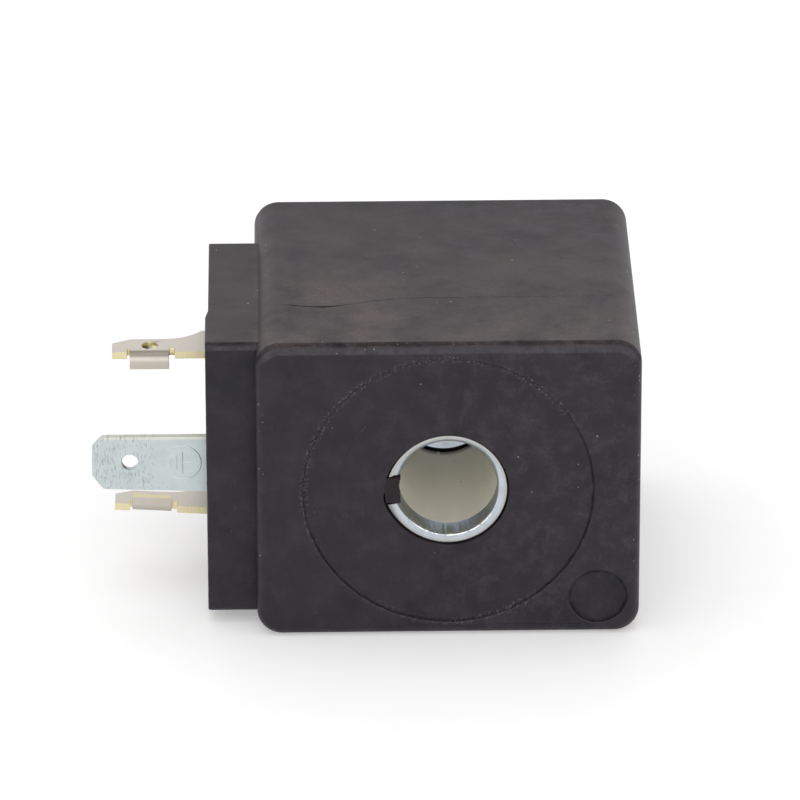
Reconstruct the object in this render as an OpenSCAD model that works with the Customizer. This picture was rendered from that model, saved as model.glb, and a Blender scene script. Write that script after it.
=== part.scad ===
// Solenoid valve coil: a moulded block with a through bore and a three-blade plug connector.
// The bore runs along Y, the connector points to -X, and the block lies on one of its long sides.
// The origin is on the bore's axis, halfway through the block. All sizes are in millimetres.

/* [Block] */
// Width of the block, across the bore
body_w = 39.6; // [38.6:0.1:46]
// Depth of the block, along the bore
body_d = 38; // [36:0.1:46]
// Height of the block
body_h = 33; // [31.6:0.1:40]
// Radius of the four edges that run along the bore
corner_r = 2.6; // [2.5:0.1:4]
// Radius round the front and rear faces
edge_r = 1.2; // [0.4:0.1:1.2]
// Plastic over the iron plates at both ends
end_wall = 1.3; // [0.8:0.1:2]
// Diameter of the shallow seat moulded in the front face
seat_d = 30; // [20:0.1:30]
// Depth of that seat
seat_depth = 0.3; // [0.1:0.1:0.6]
// Diameter of the round mould insert's mark in the front face
mark_d = 6; // [3:0.1:6]
// Depth of that mark
mark_depth = 0.25; // [0.1:0.05:0.5]

/* [Connector boss] */
// How far the boss stands out of the block's side
boss_proud = 5.1; // [4.5:0.1:8]
// Height of the boss
boss_h = 30.6; // [26:0.1:31]
// Depth of the boss, along the bore
boss_d = 26.4; // [25:0.1:28]
// How far the boss lies behind the front face
boss_setback = 3.3; // [2:0.1:6]
// Radius of the boss's long edges
boss_edge_r = 0.8; // [0.3:0.1:2]

/* [Bore] */
// Diameter of the bore, for the valve's armature tube
bore_d = 10.2; // [9:0.1:11]
// Wall of the two split iron bushes
bush_wall = 1.15; // [0.8:0.05:1.4]
// Length of the front bush, from the bobbin forwards
front_bush_len = 2.85; // [2:0.05:3]
// Length of the rear bush
rear_bush_len = 16.9; // [10:0.1:20]
// Width of the slit in each bush, on the connector's side
slit_w = 2.8; // [1:0.1:4]
// Radius of a bush's edge at the bore
mouth_r = 0.4; // [0.1:0.05:0.5]
// Radius of a bush's outer edge
rim_r = 0.2; // [0.05:0.05:0.3]
// Plastic between the bobbin's step and the rear bush
bush_gap = 0.9; // [0.2:0.1:2]

/* [Bobbin and winding] */
// Wall of the bobbin's tube round the rear bush
tube_wall = 0.95; // [0.6:0.05:1.5]
// Diameter of the bobbin's flanges
flange_d = 28; // [27:0.1:28.4]
// Thickness of the bobbin's flanges
flange_t = 1.2; // [1:0.1:2]
// How far the flanges stand out of the winding
flange_rim = 1.1; // [0.6:0.1:4]
// Thickness of the tape round the winding
tape_t = 0.3; // [0.1:0.05:0.4]
// Diameter of the winding wire's two ends
wire_d = 0.4; // [0.2:0.05:0.5]

/* [Yoke] */
// Thickness of the yoke's iron strip
yoke_t = 2; // [1.5:0.1:2.1]
// Width of the strip
yoke_w = 22; // [20:0.1:26]
// Inner radius of the strip's bends
yoke_bend_r = 0.6; // [0.2:0.1:1]
// Gap between the bobbin's flanges and the yoke's legs
leg_gap = 1.2; // [0.5:0.1:1.4]
// Width of the tenons that hold the closing plate
tenon_w = 6; // [3:0.1:9]

/* [Blades] */
// Distance between the two line blades
blade_pitch = 18; // [17:0.1:19]
// Distance from the line blades' middle to the earth blade
earth_offset = 9; // [8.5:0.1:10]
// Thickness of all three blades
blade_t = 0.8; // [0.5:0.05:1]
// Width of the earth blade
earth_w = 6.3; // [4.8:0.1:6.8]
// Length of the earth blade outside the boss
earth_len = 11.9; // [9:0.1:14]
// Width of a line blade
line_w = 3.3; // [3:0.1:4.5]
// Length of a line blade outside the boss
line_len = 9.8; // [8.8:0.1:14]
// Diameter of the hole in each blade
blade_hole_d = 1.7; // [1:0.1:1.8]
// Distance from each blade's tip to its hole
blade_hole_back = 3.95; // [3:0.05:5]
// Height of the lip folded along a line blade's front edge
lip_h = 1.8; // [1.2:0.1:3]
// Length of that lip
lip_len = 4.1; // [2:0.1:4.4]
// How much wider a line blade is at its root
flare_h = 2; // [1:0.1:2.4]
// Radius of the curve where a line blade widens towards its root
flare_r = 4.8; // [3.5:0.1:5]
// Lean of the upper line blade towards the middle, in degrees
upper_lean = 0; // [0:0.5:4]
// Lean of the lower line blade towards the middle, in degrees
lower_lean = 3.5; // [0:0.5:5]
// Upward tilt of the earth blade in its own plane, in degrees
earth_tilt = 2; // [0:0.5:4]

/* [Plug screw insert] */
// Outer diameter of the brass insert
insert_d = 5; // [4:0.1:6]
// Plastic between the insert and the yoke's leg
insert_gap = 1.2; // [0.6:0.1:2.5]
// Core diameter of its M3 thread
insert_core_d = 2.5; // [2:0.05:3]
// Wall at the bottom of its blind hole
insert_floor = 1; // [0.8:0.1:3]

/* [Hidden] */
$fn = 64;

// Extra length of a cutter past the face that it cuts
cut = 1;

// The block along Y: faces, iron plates and the bobbin between them
front_y = -body_d / 2;
rear_y = body_d / 2;
front_plate_y = front_y + end_wall;
bobbin_front_y = front_plate_y + yoke_t;
rear_plate_y = rear_y - end_wall;
bobbin_rear_y = rear_plate_y - yoke_t;
window_front_y = bobbin_front_y + flange_t;
window_rear_y = bobbin_rear_y - flange_t;

// Radii round the bore
bore_r = bore_d / 2;
bush_r = bore_r + bush_wall;
tube_r = bush_r + tube_wall;
flange_r = flange_d / 2;
winding_r = flange_r - flange_rim;
tape_r = winding_r + tape_t;
winding_room = 0.05;
front_bush_y = bobbin_front_y - front_bush_len;
rear_bush_y = rear_y - rear_bush_len;
step_y = rear_bush_y - bush_gap;

// The round mark sits in the corner that the seat leaves free
mark_margin = 0.1;
mark_inset = edge_r + mark_margin + mark_d / 2;
mark_x = body_w / 2 - mark_inset;
mark_z = -body_h / 2 + mark_inset;

// The yoke's legs, left and right of the winding
leg_in = flange_r + leg_gap;
leg_out = leg_in + yoke_t;
leg_clearance = 1.6;
line_leg_w = blade_pitch - blade_t - 2 * leg_clearance;

// The boss and the blades' pattern on it
boss_face = -body_w / 2 - boss_proud;
boss_root = -body_w / 2 + corner_r;
pattern_y = front_y + boss_setback + boss_d / 2;
earth_y = pattern_y - earth_offset;

// The sockets on the rear flange that hold the line terminals' legs
socket_wall = 0.8;
socket_roof = 1;
socket_h = blade_t + 2 * socket_roof;
socket_len = 3;
socket_depth = 2.5;
socket_clearance = 0.05;

// A line terminal, seen along Z: blade, shoulder, tail and the leg that plugs into the bobbin
near_offset = 1.9;
blade_near_y = pattern_y - near_offset;
blade_far_y = blade_near_y + line_w;
blade_tip = boss_face - line_len;
tip_chamfer = [1.9, 1.0];
root_stub = 0.5;
root_x = boss_face - root_stub;
root_far_y = blade_far_y + flare_h;
flare_run = sqrt(2 * flare_r * flare_h - flare_h * flare_h);
shoulder_inset = 0.9;
shoulder_x = boss_face + shoulder_inset;
shoulder_w = 3.5;
shoulder_len = 9.4;
shoulder_end_y = blade_near_y + shoulder_len;
tail_w = 3;
tail_gap = 0.6;
tail_x = -leg_out - tail_gap;
post_w = 1.2;
post_len = 1.8;
post_gap = 2;
post_y = bobbin_rear_y - socket_len - post_gap - post_w;
post_tip_x = tail_x + tail_w + post_len;
socket_stop = 1.6;
socket_inner_x = tail_x + tail_w + socket_stop;
socket_outer_x = tail_x - socket_wall;

// The lip along a line blade's front edge, and the notches at its ends
lip_back = 1.85;
lip_start = blade_tip + lip_back;
lip_end = lip_start + lip_len;
lip_bend_r = 0.2;
lip_outer_r = lip_bend_r + blade_t;
lip_proud = 0.4;
lip_face_y = blade_near_y - lip_proud;
lip_bend_y = lip_face_y + lip_outer_r;
relief_w = 0.25;
notch_w = 0.6;
notch_depth = 0.9;

// The earth terminal, seen along Z: blade, bend and the foot on the yoke's leg
earth_tip = boss_face - earth_len;
earth_chamfer = [1.3, 1.5];
earth_bevel = [0.8, 0.2];
earth_bend_r = 0.5;
foot_len = 6.3;
rivet_shift = 0.2;
rivet_y = earth_y + foot_len / 2 + rivet_shift;
rivet_d = 2;
rivet_head_d = 3.4;
rivet_head_t = 0.8;
rivet_sink = 0.6;

// The winding's two ends: along a groove in the rear flange, then out to the terminals' posts
lead_angle = 43;
lead_y = window_rear_y + wire_d / 2;
groove_room = 0.4;
groove_w = wire_d + groove_room;
groove_depth = wire_d + groove_room / 2;
wire_bend_r = 0.6;
wire_lift = 0.02;
solder_back = 0.6;
solder_x = post_tip_x - solder_back;
solder_y = post_y + post_w / 2;
solder_r = 0.85;
solder_slope = 0.3;

// The insert and its two holding grooves
insert_len = -boss_face - leg_out - insert_gap;
insert_depth = insert_len - insert_floor;
insert_mouth = 0.3;
insert_groove_depth = 0.35;
insert_groove_w = 1;

// Draws an outline in (x, z) as a slab between two places along Y
module slab_y(y0, y1) {
    translate([0, y1, 0])
        rotate([90, 0, 0])
            linear_extrude(y1 - y0)
                children();
}

// Draws an outline in (y, z) as a slab between two places along X
module slab_x(x0, x1) {
    translate([x0, 0, 0])
        rotate([90, 0, 90])
            linear_extrude(x1 - x0)
                children();
}

// Draws an outline in (x, y) as a slab between two places along Z
module slab_z(z0, z1) {
    translate([0, 0, z0])
        linear_extrude(z1 - z0)
            children();
}

// Turns an outline in (radius, y) about the bore's axis
module turned() {
    rotate([-90, 0, 0])
        rotate_extrude()
            children();
}

// A rectangle from one corner to the other
module span(low, high) {
    translate(low)
        square(high - low);
}

// A rectangle round the origin, with round corners
module round_rect(w, h, r) {
    square([w - 2 * r, h], center = true);
    square([w, h - 2 * r], center = true);
    for (sx = [-1, 1], sy = [-1, 1])
        translate([sx * (w / 2 - r), sy * (h / 2 - r)])
            circle(r);
}

// The block with its four long edges round, and a smaller radius round both ends
module rounded_block() {
    slab_x(-body_w / 2 + corner_r, body_w / 2 - corner_r)
        round_rect(body_d, body_h, edge_r);
    slab_z(-body_h / 2 + corner_r, body_h / 2 - corner_r)
        round_rect(body_w, body_d, edge_r);
    for (sx = [-1, 1], sz = [-1, 1])
        translate([sx * (body_w / 2 - corner_r), 0, sz * (body_h / 2 - corner_r)])
            turned()
                intersection() {
                    round_rect(2 * corner_r, body_d, edge_r);
                    span([0, front_y], [corner_r, rear_y]);
                }
}

module boss() {
    slab_x(boss_face, boss_root)
        translate([pattern_y, 0])
            round_rect(boss_d, boss_h, boss_edge_r);
}

// The whole moulding fills every space that the pieces inside leave free
module encapsulation() {
    color([0.22, 0.22, 0.23])
        difference() {
            union() {
                rounded_block();
                boss();
            }
            turned()
                span([0, front_y - cut], [bore_r, rear_y + cut]);
            turned()
                span([0, front_y - cut], [bush_r, front_bush_y]);
            turned()
                span([0, front_y - cut], [seat_d / 2, front_y + seat_depth]);
            translate([mark_x, 0, mark_z])
                turned()
                    span([0, front_y - cut], [mark_d / 2, front_y + mark_depth]);
            bobbin_blank();
            turned()
                span([tube_r, window_front_y], [tape_r + winding_room, window_rear_y]);
            yoke_bracket();
            yoke_closing_plate();
            front_flux_bush();
            rear_flux_bush();
            upper_line_terminal();
            lower_line_terminal();
            earth_terminal();
            earth_rivet();
            insert_blank();
            start_lead();
            finish_lead();
            solder_blob(upper_lean);
            mirror([0, 0, 1])
                solder_blob(lower_lean);
        }
}

// The bobbin before its grooves and sockets are cut: tube, flanges and two socket blocks
module bobbin_blank() {
    turned()
        difference() {
            union() {
                span([0, bobbin_front_y], [tube_r, bobbin_rear_y]);
                span([0, bobbin_front_y], [flange_r, window_front_y]);
                span([0, window_rear_y], [flange_r, bobbin_rear_y]);
            }
            span([0, bobbin_front_y - cut], [bore_r, bobbin_rear_y + cut]);
            span([0, step_y], [bush_r, bobbin_rear_y + cut]);
        }
    for (side = [0, 1])
        mirror([0, 0, side])
            translate([0, 0, blade_pitch / 2 - socket_h / 2])
                slab_z(0, socket_h) {
                    span([socket_outer_x, bobbin_rear_y - socket_len], [socket_inner_x, bobbin_rear_y]);
                    span([socket_outer_x, window_rear_y], [-tube_r, bobbin_rear_y]);
                }
}

module bobbin() {
    color([0.62, 0.59, 0.52])
        difference() {
            bobbin_blank();
            lead_groove(upper_lean);
            socket_slot(upper_lean);
            mirror([0, 0, 1]) {
                lead_groove(lower_lean);
                socket_slot(lower_lean);
            }
        }
}

// The groove in the rear flange along which the winding's end runs outwards
module lead_groove(lean) {
    end_r = lead_turn_r(lean) + groove_w;
    rotate([0, lead_angle, 0])
        slab_z(-groove_w / 2, groove_w / 2)
            span([-end_r, window_rear_y - cut], [-tube_r, window_rear_y + groove_depth]);
}

// The slot in which a line terminal's leg stands
module socket_slot(lean) {
    slot_half = blade_t / 2 + socket_clearance;
    slot_y = bobbin_rear_y - socket_len;
    in_line_terminal(lean)
        slab_z(-slot_half, slot_half)
            span(
                [tail_x - socket_clearance, slot_y - cut],
                [tail_x + tail_w + socket_clearance, slot_y + socket_depth + socket_clearance]
            );
}

module winding() {
    color([0.72, 0.4, 0.18])
        turned()
            span([tube_r, window_front_y], [winding_r, window_rear_y]);
}

module winding_tape() {
    color([0.85, 0.72, 0.3])
        turned()
            span([winding_r, window_front_y], [tape_r, window_rear_y]);
}

// The strip of the yoke bent into a U, seen along Z
module yoke_outline() {
    outer_r = yoke_bend_r + yoke_t;
    difference() {
        union() {
            span([-leg_out, bobbin_front_y], [leg_out, rear_plate_y - outer_r]);
            span([-leg_out + outer_r, bobbin_front_y], [leg_out - outer_r, rear_plate_y]);
            for (side = [-1, 1])
                translate([side * (leg_out - outer_r), rear_plate_y - outer_r])
                    circle(outer_r);
        }
        span([-leg_in, bobbin_front_y - cut], [leg_in, bobbin_rear_y - yoke_bend_r]);
        span([-leg_in + yoke_bend_r, bobbin_front_y - cut], [leg_in - yoke_bend_r, bobbin_rear_y]);
        for (side = [-1, 1])
            translate([side * (leg_in - yoke_bend_r), bobbin_rear_y - yoke_bend_r])
                circle(yoke_bend_r);
    }
}

// The two tenons at the ends of the yoke's legs, seen along Z
module tenon_outline() {
    for (side = [0, 1])
        mirror([side, 0])
            span([leg_in, front_plate_y], [leg_out, bobbin_front_y]);
}

// The U-shaped bracket: rear plate, a wide leg, and a narrow leg between the line terminals
module yoke_bracket() {
    neck_y = bobbin_rear_y - socket_len - leg_clearance;
    color([0.55, 0.56, 0.58])
        difference() {
            union() {
                slab_z(-yoke_w / 2, yoke_w / 2)
                    yoke_outline();
                slab_z(-tenon_w / 2, tenon_w / 2)
                    tenon_outline();
            }
            turned()
                span([0, bobbin_rear_y - cut], [bush_r, rear_plate_y + cut]);
            for (side = [0, 1])
                mirror([0, 0, side])
                    slab_z(line_leg_w / 2, yoke_w / 2 + cut)
                        span([-leg_out - cut, front_plate_y - cut], [-leg_in + cut, neck_y]);
            for (side = [0, 1])
                mirror([0, 0, side])
                    slab_z(blade_pitch / 2 - socket_h / 2, yoke_w / 2 + cut)
                        span([-leg_out - cut, neck_y - cut], [-leg_in + cut, bobbin_rear_y]);
            earth_rivet();
        }
}

module yoke_closing_plate() {
    color([0.5, 0.51, 0.53])
        difference() {
            slab_y(front_plate_y, bobbin_front_y)
                square([2 * leg_out, yoke_w], center = true);
            turned()
                span([0, front_plate_y - cut], [bush_r, bobbin_front_y + cut]);
            slab_z(-tenon_w / 2, tenon_w / 2)
                tenon_outline();
        }
}

// A rolled iron bush with round edges and a slit towards the connector
module split_bush(y0, y1) {
    difference() {
        turned()
            difference() {
                span([bore_r, y0], [bush_r, y1]);
                for (end = [0, 1])
                    translate([0, end == 0 ? y0 : y1])
                        mirror([0, end]) {
                            translate([bore_r, 0])
                                corner_cut(mouth_r);
                            translate([bush_r, 0])
                                mirror([1, 0])
                                    corner_cut(rim_r);
                        }
            }
        slab_z(-slit_w / 2, slit_w / 2)
            span([-bush_r - cut, y0 - cut], [0, y1 + cut]);
    }
}

// What a round edge takes off a corner that points to the origin
module corner_cut(r) {
    difference() {
        translate([-cut, -cut])
            square(r + cut);
        translate([r, r])
            circle(r);
    }
}

module front_flux_bush() {
    color([0.72, 0.76, 0.8])
        split_bush(front_bush_y, bobbin_front_y);
}

module rear_flux_bush() {
    color([0.72, 0.76, 0.8])
        split_bush(rear_bush_y, rear_y);
}

// The stamped outline of a line terminal, seen along Z
module line_terminal_outline() {
    leg_end_y = bobbin_rear_y - socket_len + socket_depth;
    difference() {
        union() {
            polygon([
                [blade_tip, blade_near_y],
                [root_x, blade_near_y],
                [root_x, blade_far_y],
                [blade_tip + tip_chamfer[0], blade_far_y],
                [blade_tip, blade_far_y - tip_chamfer[1]]
            ]);
            difference() {
                span([root_x - flare_run, blade_far_y], [root_x, root_far_y]);
                translate([root_x - flare_run, blade_far_y + flare_r])
                    circle(flare_r);
            }
            span([root_x, blade_near_y], [shoulder_x + shoulder_w, root_far_y]);
            span([shoulder_x, blade_near_y], [shoulder_x + shoulder_w, shoulder_end_y]);
            span([shoulder_x, shoulder_end_y - tail_w], [tail_x + tail_w, shoulder_end_y]);
            span([tail_x, shoulder_end_y - tail_w], [tail_x + tail_w, leg_end_y]);
            span([tail_x, post_y], [post_tip_x, post_y + post_w]);
        }
        translate([blade_tip + blade_hole_back, blade_near_y + line_w / 2])
            circle(d = blade_hole_d);
        span([lip_start, blade_near_y - cut], [lip_end, lip_bend_y]);
        span([lip_start - relief_w, blade_near_y - cut], [lip_start, blade_near_y + notch_depth]);
        span([lip_end, blade_near_y - cut], [lip_end + notch_w, blade_near_y + notch_depth]);
    }
}

// The lip folded down along the blade's front edge, seen along X
module lip_outline() {
    top = blade_t / 2;
    bend_z = top - lip_outer_r;
    intersection() {
        translate([lip_bend_y, bend_z])
            difference() {
                circle(lip_outer_r);
                circle(lip_bend_r);
            }
        span([lip_face_y, bend_z], [lip_bend_y, top]);
    }
    span([lip_face_y, top - lip_h], [lip_face_y + blade_t, bend_z]);
}

// Puts a piece that is drawn round a line terminal's own middle plane in its leaning place
module in_line_terminal(lean) {
    translate([boss_face, 0, blade_pitch / 2])
        rotate([0, -lean, 0])
            translate([-boss_face, 0, 0])
                children();
}

// The same for a point
function line_terminal_point(x, y, z, lean) = [
    boss_face + (x - boss_face) * cos(lean) - z * sin(lean),
    y,
    blade_pitch / 2 + (x - boss_face) * sin(lean) + z * cos(lean)
];

// A line terminal, stamped from strip and with its lip folded, leaning towards the middle outside the boss
module line_terminal(lean) {
    in_line_terminal(lean)
        union() {
            slab_z(-blade_t / 2, blade_t / 2)
                line_terminal_outline();
            slab_x(lip_start, lip_end)
                lip_outline();
        }
}

module upper_line_terminal() {
    color([0.84, 0.82, 0.78])
        line_terminal(upper_lean);
}

module lower_line_terminal() {
    color([0.84, 0.82, 0.78])
        mirror([0, 0, 1])
            line_terminal(lower_lean);
}

// The earth terminal from the side: a blade with a bevelled tip, bent into a foot along the yoke's leg
module earth_profile() {
    outer_r = earth_bend_r + blade_t;
    bend_x = -leg_out - outer_r;
    bend_y = earth_y + blade_t / 2 + earth_bend_r;
    polygon([
        [earth_tip, earth_y - blade_t / 2 + earth_bevel[1]],
        [earth_tip + earth_bevel[0], earth_y - blade_t / 2],
        [bend_x, earth_y - blade_t / 2],
        [bend_x, earth_y + blade_t / 2],
        [earth_tip + earth_bevel[0], earth_y + blade_t / 2],
        [earth_tip, earth_y + blade_t / 2 - earth_bevel[1]]
    ]);
    intersection() {
        translate([bend_x, bend_y])
            difference() {
                circle(outer_r);
                circle(earth_bend_r);
            }
        span([bend_x, bend_y - outer_r], [bend_x + outer_r, bend_y]);
    }
    span([-leg_out - blade_t, bend_y], [-leg_out, earth_y - blade_t / 2 + foot_len]);
}

// A point of the earth blade seen from the front, tilted about the boss's face
function tilted(x, z) = [
    boss_face + (x - boss_face) * cos(earth_tilt) + z * sin(earth_tilt),
    (boss_face - x) * sin(earth_tilt) + z * cos(earth_tilt)
];

// The earth blade's outline from the front, with its tip's corners cut off
module earth_outline() {
    half = earth_w / 2;
    difference() {
        polygon([
            tilted(earth_tip, -half + earth_chamfer[1]),
            tilted(earth_tip + earth_chamfer[0], -half),
            [boss_face, -half],
            [-leg_out, -half],
            [-leg_out, half],
            [boss_face, half],
            tilted(earth_tip + earth_chamfer[0], half),
            tilted(earth_tip, half - earth_chamfer[1])
        ]);
        translate(tilted(earth_tip + blade_hole_back, 0))
            circle(d = blade_hole_d);
    }
}

module earth_terminal() {
    color([0.7, 0.75, 0.79])
        difference() {
            intersection() {
                slab_z(-earth_w / 2, earth_w / 2)
                    earth_profile();
                slab_y(earth_y - blade_t, earth_y + foot_len)
                    earth_outline();
            }
            earth_rivet();
        }
}

// A rivet through the earth terminal's foot and the yoke's leg, with its far head sunk flush
module earth_rivet() {
    shank_r = rivet_d / 2;
    head_r = rivet_head_d / 2;
    grip = blade_t + yoke_t;
    color([0.66, 0.68, 0.7])
        translate([-leg_out - blade_t, rivet_y, 0])
            rotate([0, 90, 0])
                rotate_extrude()
                    polygon([
                        [0, -rivet_head_t],
                        [shank_r, -rivet_head_t],
                        [head_r, -rivet_head_t / 3],
                        [head_r, 0],
                        [shank_r, 0],
                        [shank_r, grip - rivet_sink],
                        [shank_r + rivet_sink, grip],
                        [0, grip]
                    ]);
}

// The insert's outside: a brass bush with two holding grooves
module insert_blank() {
    r = insert_d / 2;
    pitch = insert_len / 3;
    translate([boss_face, pattern_y, 0])
        rotate([0, 90, 0])
            rotate_extrude()
                difference() {
                    span([0, 0], [r, insert_len]);
                    for (place = [1, 2])
                        span(
                            [r - insert_groove_depth, place * pitch - insert_groove_w / 2],
                            [r + cut, place * pitch + insert_groove_w / 2]
                        );
                }
}

// The threaded insert for the plug's central screw
module connector_insert() {
    core_r = insert_core_d / 2;
    color([0.78, 0.64, 0.34])
        difference() {
            insert_blank();
            translate([boss_face, pattern_y, 0])
                rotate([0, 90, 0])
                    rotate_extrude()
                        polygon([
                            [0, -cut],
                            [core_r + insert_mouth + cut, -cut],
                            [core_r, insert_mouth],
                            [core_r, insert_depth],
                            [0, insert_depth]
                        ]);
        }
}

// A straight length of round wire, from the origin along Z
module wire_run(length) {
    cylinder(d = wire_d, h = length);
}

// A round wire from one point to another and on to a third, with a true bend at the second
module bent_wire(first, second, third) {
    run = (second - first) / norm(second - first);
    next = (third - second) / norm(third - second);
    turn = acos(run * next);
    setback = wire_bend_r * tan(turn / 2);
    tilt = acos(run[2]);
    heading = atan2(run[1], run[0]);
    side_x = [cos(heading) * cos(tilt), sin(heading) * cos(tilt), -sin(tilt)];
    side_y = [-sin(heading), cos(heading), 0];
    translate(first)
        rotate([0, tilt, heading])
            rotate([0, 0, atan2(next * side_y, next * side_x)]) {
                wire_run(norm(second - first) - setback);
                translate([wire_bend_r, 0, norm(second - first) - setback]) {
                    rotate([90, 0, 180])
                        rotate_extrude(angle = turn)
                            translate([wire_bend_r, 0])
                                circle(d = wire_d);
                    rotate([0, turn, 0])
                        translate([-wire_bend_r, 0, 0])
                            wire_run(norm(third - second) - setback);
                }
            }
}

// A place on the rear flange, at a radius along the leads' groove
function groove_point(r) = [-r * cos(lead_angle), lead_y, r * sin(lead_angle)];

// Where a wire's end lies on the post of a line terminal
function post_point(lean) =
    line_terminal_point(solder_x, solder_y, (blade_t + wire_d) / 2 + wire_lift, lean);

// The radius at which a wire's end leaves its groove: level with that post, and outside the tape
function lead_turn_r(lean) = max(post_point(lean)[2] / sin(lead_angle), tape_r + wire_d);

// An end of the winding: out along the groove, then to the post of a line terminal
module lead(first_r, lean) {
    color([0.7, 0.38, 0.16])
        bent_wire(groove_point(first_r), groove_point(lead_turn_r(lean)), post_point(lean));
}

// The winding's inner end runs up the whole flange to the upper terminal
module start_lead() {
    lead(tube_r + wire_d, upper_lean);
}

// The winding's outer end leaves at the rim, for the lower terminal
module finish_lead() {
    mirror([0, 0, 1])
        lead(winding_r - wire_d, lower_lean);
}

// The outside of the solder round a terminal's post and the end of its wire
module solder_blob(lean) {
    translate(line_terminal_point(solder_x, solder_y, wire_d / 2, lean))
        rotate([0, 90, 0])
            rotate_extrude()
                polygon([
                    [0, -solder_r],
                    [solder_r - solder_slope, -solder_r],
                    [solder_r, -solder_r + solder_slope],
                    [solder_r, solder_r - solder_slope],
                    [solder_r - solder_slope, solder_r],
                    [0, solder_r]
                ]);
}

module start_solder_joint() {
    color([0.75, 0.76, 0.78])
        difference() {
            solder_blob(upper_lean);
            upper_line_terminal();
            start_lead();
        }
}

module finish_solder_joint() {
    color([0.75, 0.76, 0.78])
        difference() {
            mirror([0, 0, 1])
                solder_blob(lower_lean);
            lower_line_terminal();
            finish_lead();
        }
}

encapsulation();
bobbin();
winding();
winding_tape();
yoke_bracket();
yoke_closing_plate();
front_flux_bush();
rear_flux_bush();
upper_line_terminal();
lower_line_terminal();
earth_terminal();
earth_rivet();
connector_insert();
start_lead();
finish_lead();
start_solder_joint();
finish_solder_joint();
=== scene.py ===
# %% [markdown]
# # A solenoid valve coil, from solids to a picture
#
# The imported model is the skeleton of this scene: every solid is already in its place, in metres. What is missing is
# what the eye reads first, such as moulded plastic with scuffs, rolled and plated metal, and cut edges. Pieces whose
# surface needs more than a material are made anew here, each inside the space of the solid that it stands for.

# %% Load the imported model
import math

import bmesh
import bpy
import numpy as np
from mathutils import Matrix, Vector


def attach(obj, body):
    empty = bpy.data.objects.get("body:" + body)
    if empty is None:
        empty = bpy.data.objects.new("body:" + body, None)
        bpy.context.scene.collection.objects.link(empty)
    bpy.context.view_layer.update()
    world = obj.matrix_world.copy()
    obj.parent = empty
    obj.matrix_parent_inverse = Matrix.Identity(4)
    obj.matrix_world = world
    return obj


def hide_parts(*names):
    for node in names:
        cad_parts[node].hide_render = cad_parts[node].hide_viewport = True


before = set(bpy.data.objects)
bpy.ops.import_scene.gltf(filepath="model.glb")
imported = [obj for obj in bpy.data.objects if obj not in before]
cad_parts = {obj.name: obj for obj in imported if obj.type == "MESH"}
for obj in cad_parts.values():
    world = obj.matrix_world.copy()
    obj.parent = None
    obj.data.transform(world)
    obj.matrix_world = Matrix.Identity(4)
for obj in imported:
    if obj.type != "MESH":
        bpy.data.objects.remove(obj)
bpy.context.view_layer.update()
MM = 0.001

# %% [markdown]
# ## The camera
#
# A product photo is taken from far away with a long lens, so that parallel edges stay nearly parallel. One could turn
# the camera by eye, but its place and its three angles can also be worked out from the corners of the block, and then
# written as a matrix: its columns are the directions that point right, up and backwards in the picture.

# %% Camera
IMAGE_PX = 800
FOCAL_PX = 7522
SENSOR_MM = 36
pitch, yaw, roll = (math.radians(angle) for angle in (25.074, 1.008, -0.111))
looking_down = Matrix((
    (1, 0, 0),
    (0, -math.sin(pitch), -math.cos(pitch)),
    (0, math.cos(pitch), -math.sin(pitch)),
))
right, down, ahead = Matrix.Rotation(roll, 3, "Z") @ looking_down @ Matrix.Rotation(yaw, 3, "Z")

lens = bpy.data.cameras.new("long_lens")
lens.sensor_width = SENSOR_MM
lens.lens = FOCAL_PX / IMAGE_PX * SENSOR_MM
lens.clip_start = 0.01
camera = bpy.data.objects.new("camera", lens)
bpy.context.scene.collection.objects.link(camera)
camera.matrix_world = Matrix.Translation(Vector((-17.23, -715.35, 336.32)) * MM) @ Matrix(
    (right, -down, -ahead)).transposed().to_4x4()
bpy.context.scene.camera = camera
bpy.context.scene.view_settings.view_transform = "Standard"
print("lens:", round(lens.lens, 1), "mm")

# %% [markdown]
# ## Colours and one helper for all node trees
#
# Colours are written as they would be picked on a screen, and one function turns them into the linear values that
# a renderer works with. Node trees, for materials and for geometry alike, are written with one small function that
# adds a node, sets its options and fills its inputs with numbers or links.

# %% Helpers for colours and nodes
def linear(hex_colour):
    """An sRGB colour such as 'c8b090' as linear red, green, blue and alpha."""
    channels = [int(hex_colour[i:i + 2], 16) / 255 for i in (0, 2, 4)]
    return [c / 12.92 if c <= 0.04045 else ((c + 0.055) / 1.055) ** 2.4 for c in channels] + [1.0]


def add(tree, kind, options=None, inputs=None):
    """Adds a node to a tree; an input takes a plain value or another node's output."""
    node = tree.nodes.new(kind)
    for name, value in (options or {}).items():
        setattr(node, name, value)
    for socket, value in (inputs or {}).items():
        if isinstance(value, bpy.types.NodeSocket):
            tree.links.new(value, node.inputs[socket])
        else:
            node.inputs[socket].default_value = value
    return node


def new_material(name):
    """A material with an empty Principled shader, and its coordinates in millimetres."""
    material = bpy.data.materials.new(name)
    material.use_nodes = True
    tree = material.node_tree
    place = add(tree, "ShaderNodeTexCoord")
    in_mm = add(tree, "ShaderNodeVectorMath", {"operation": "SCALE"}, {0: place.outputs["Object"], "Scale": 1 / MM})
    return material, tree, tree.nodes["Principled BSDF"], place, in_mm.outputs[0]


# %% [markdown]
# ## Floor, background and light
#
# The photo has a white ground with a soft shadow. Making the ground white with more light would bleach the object, so
# the light stays at a plain level. What the camera and reflections see of the floor gets a little glow of its own, and
# the shadow is still there because the glow is added to the floor's own shading.

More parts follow.
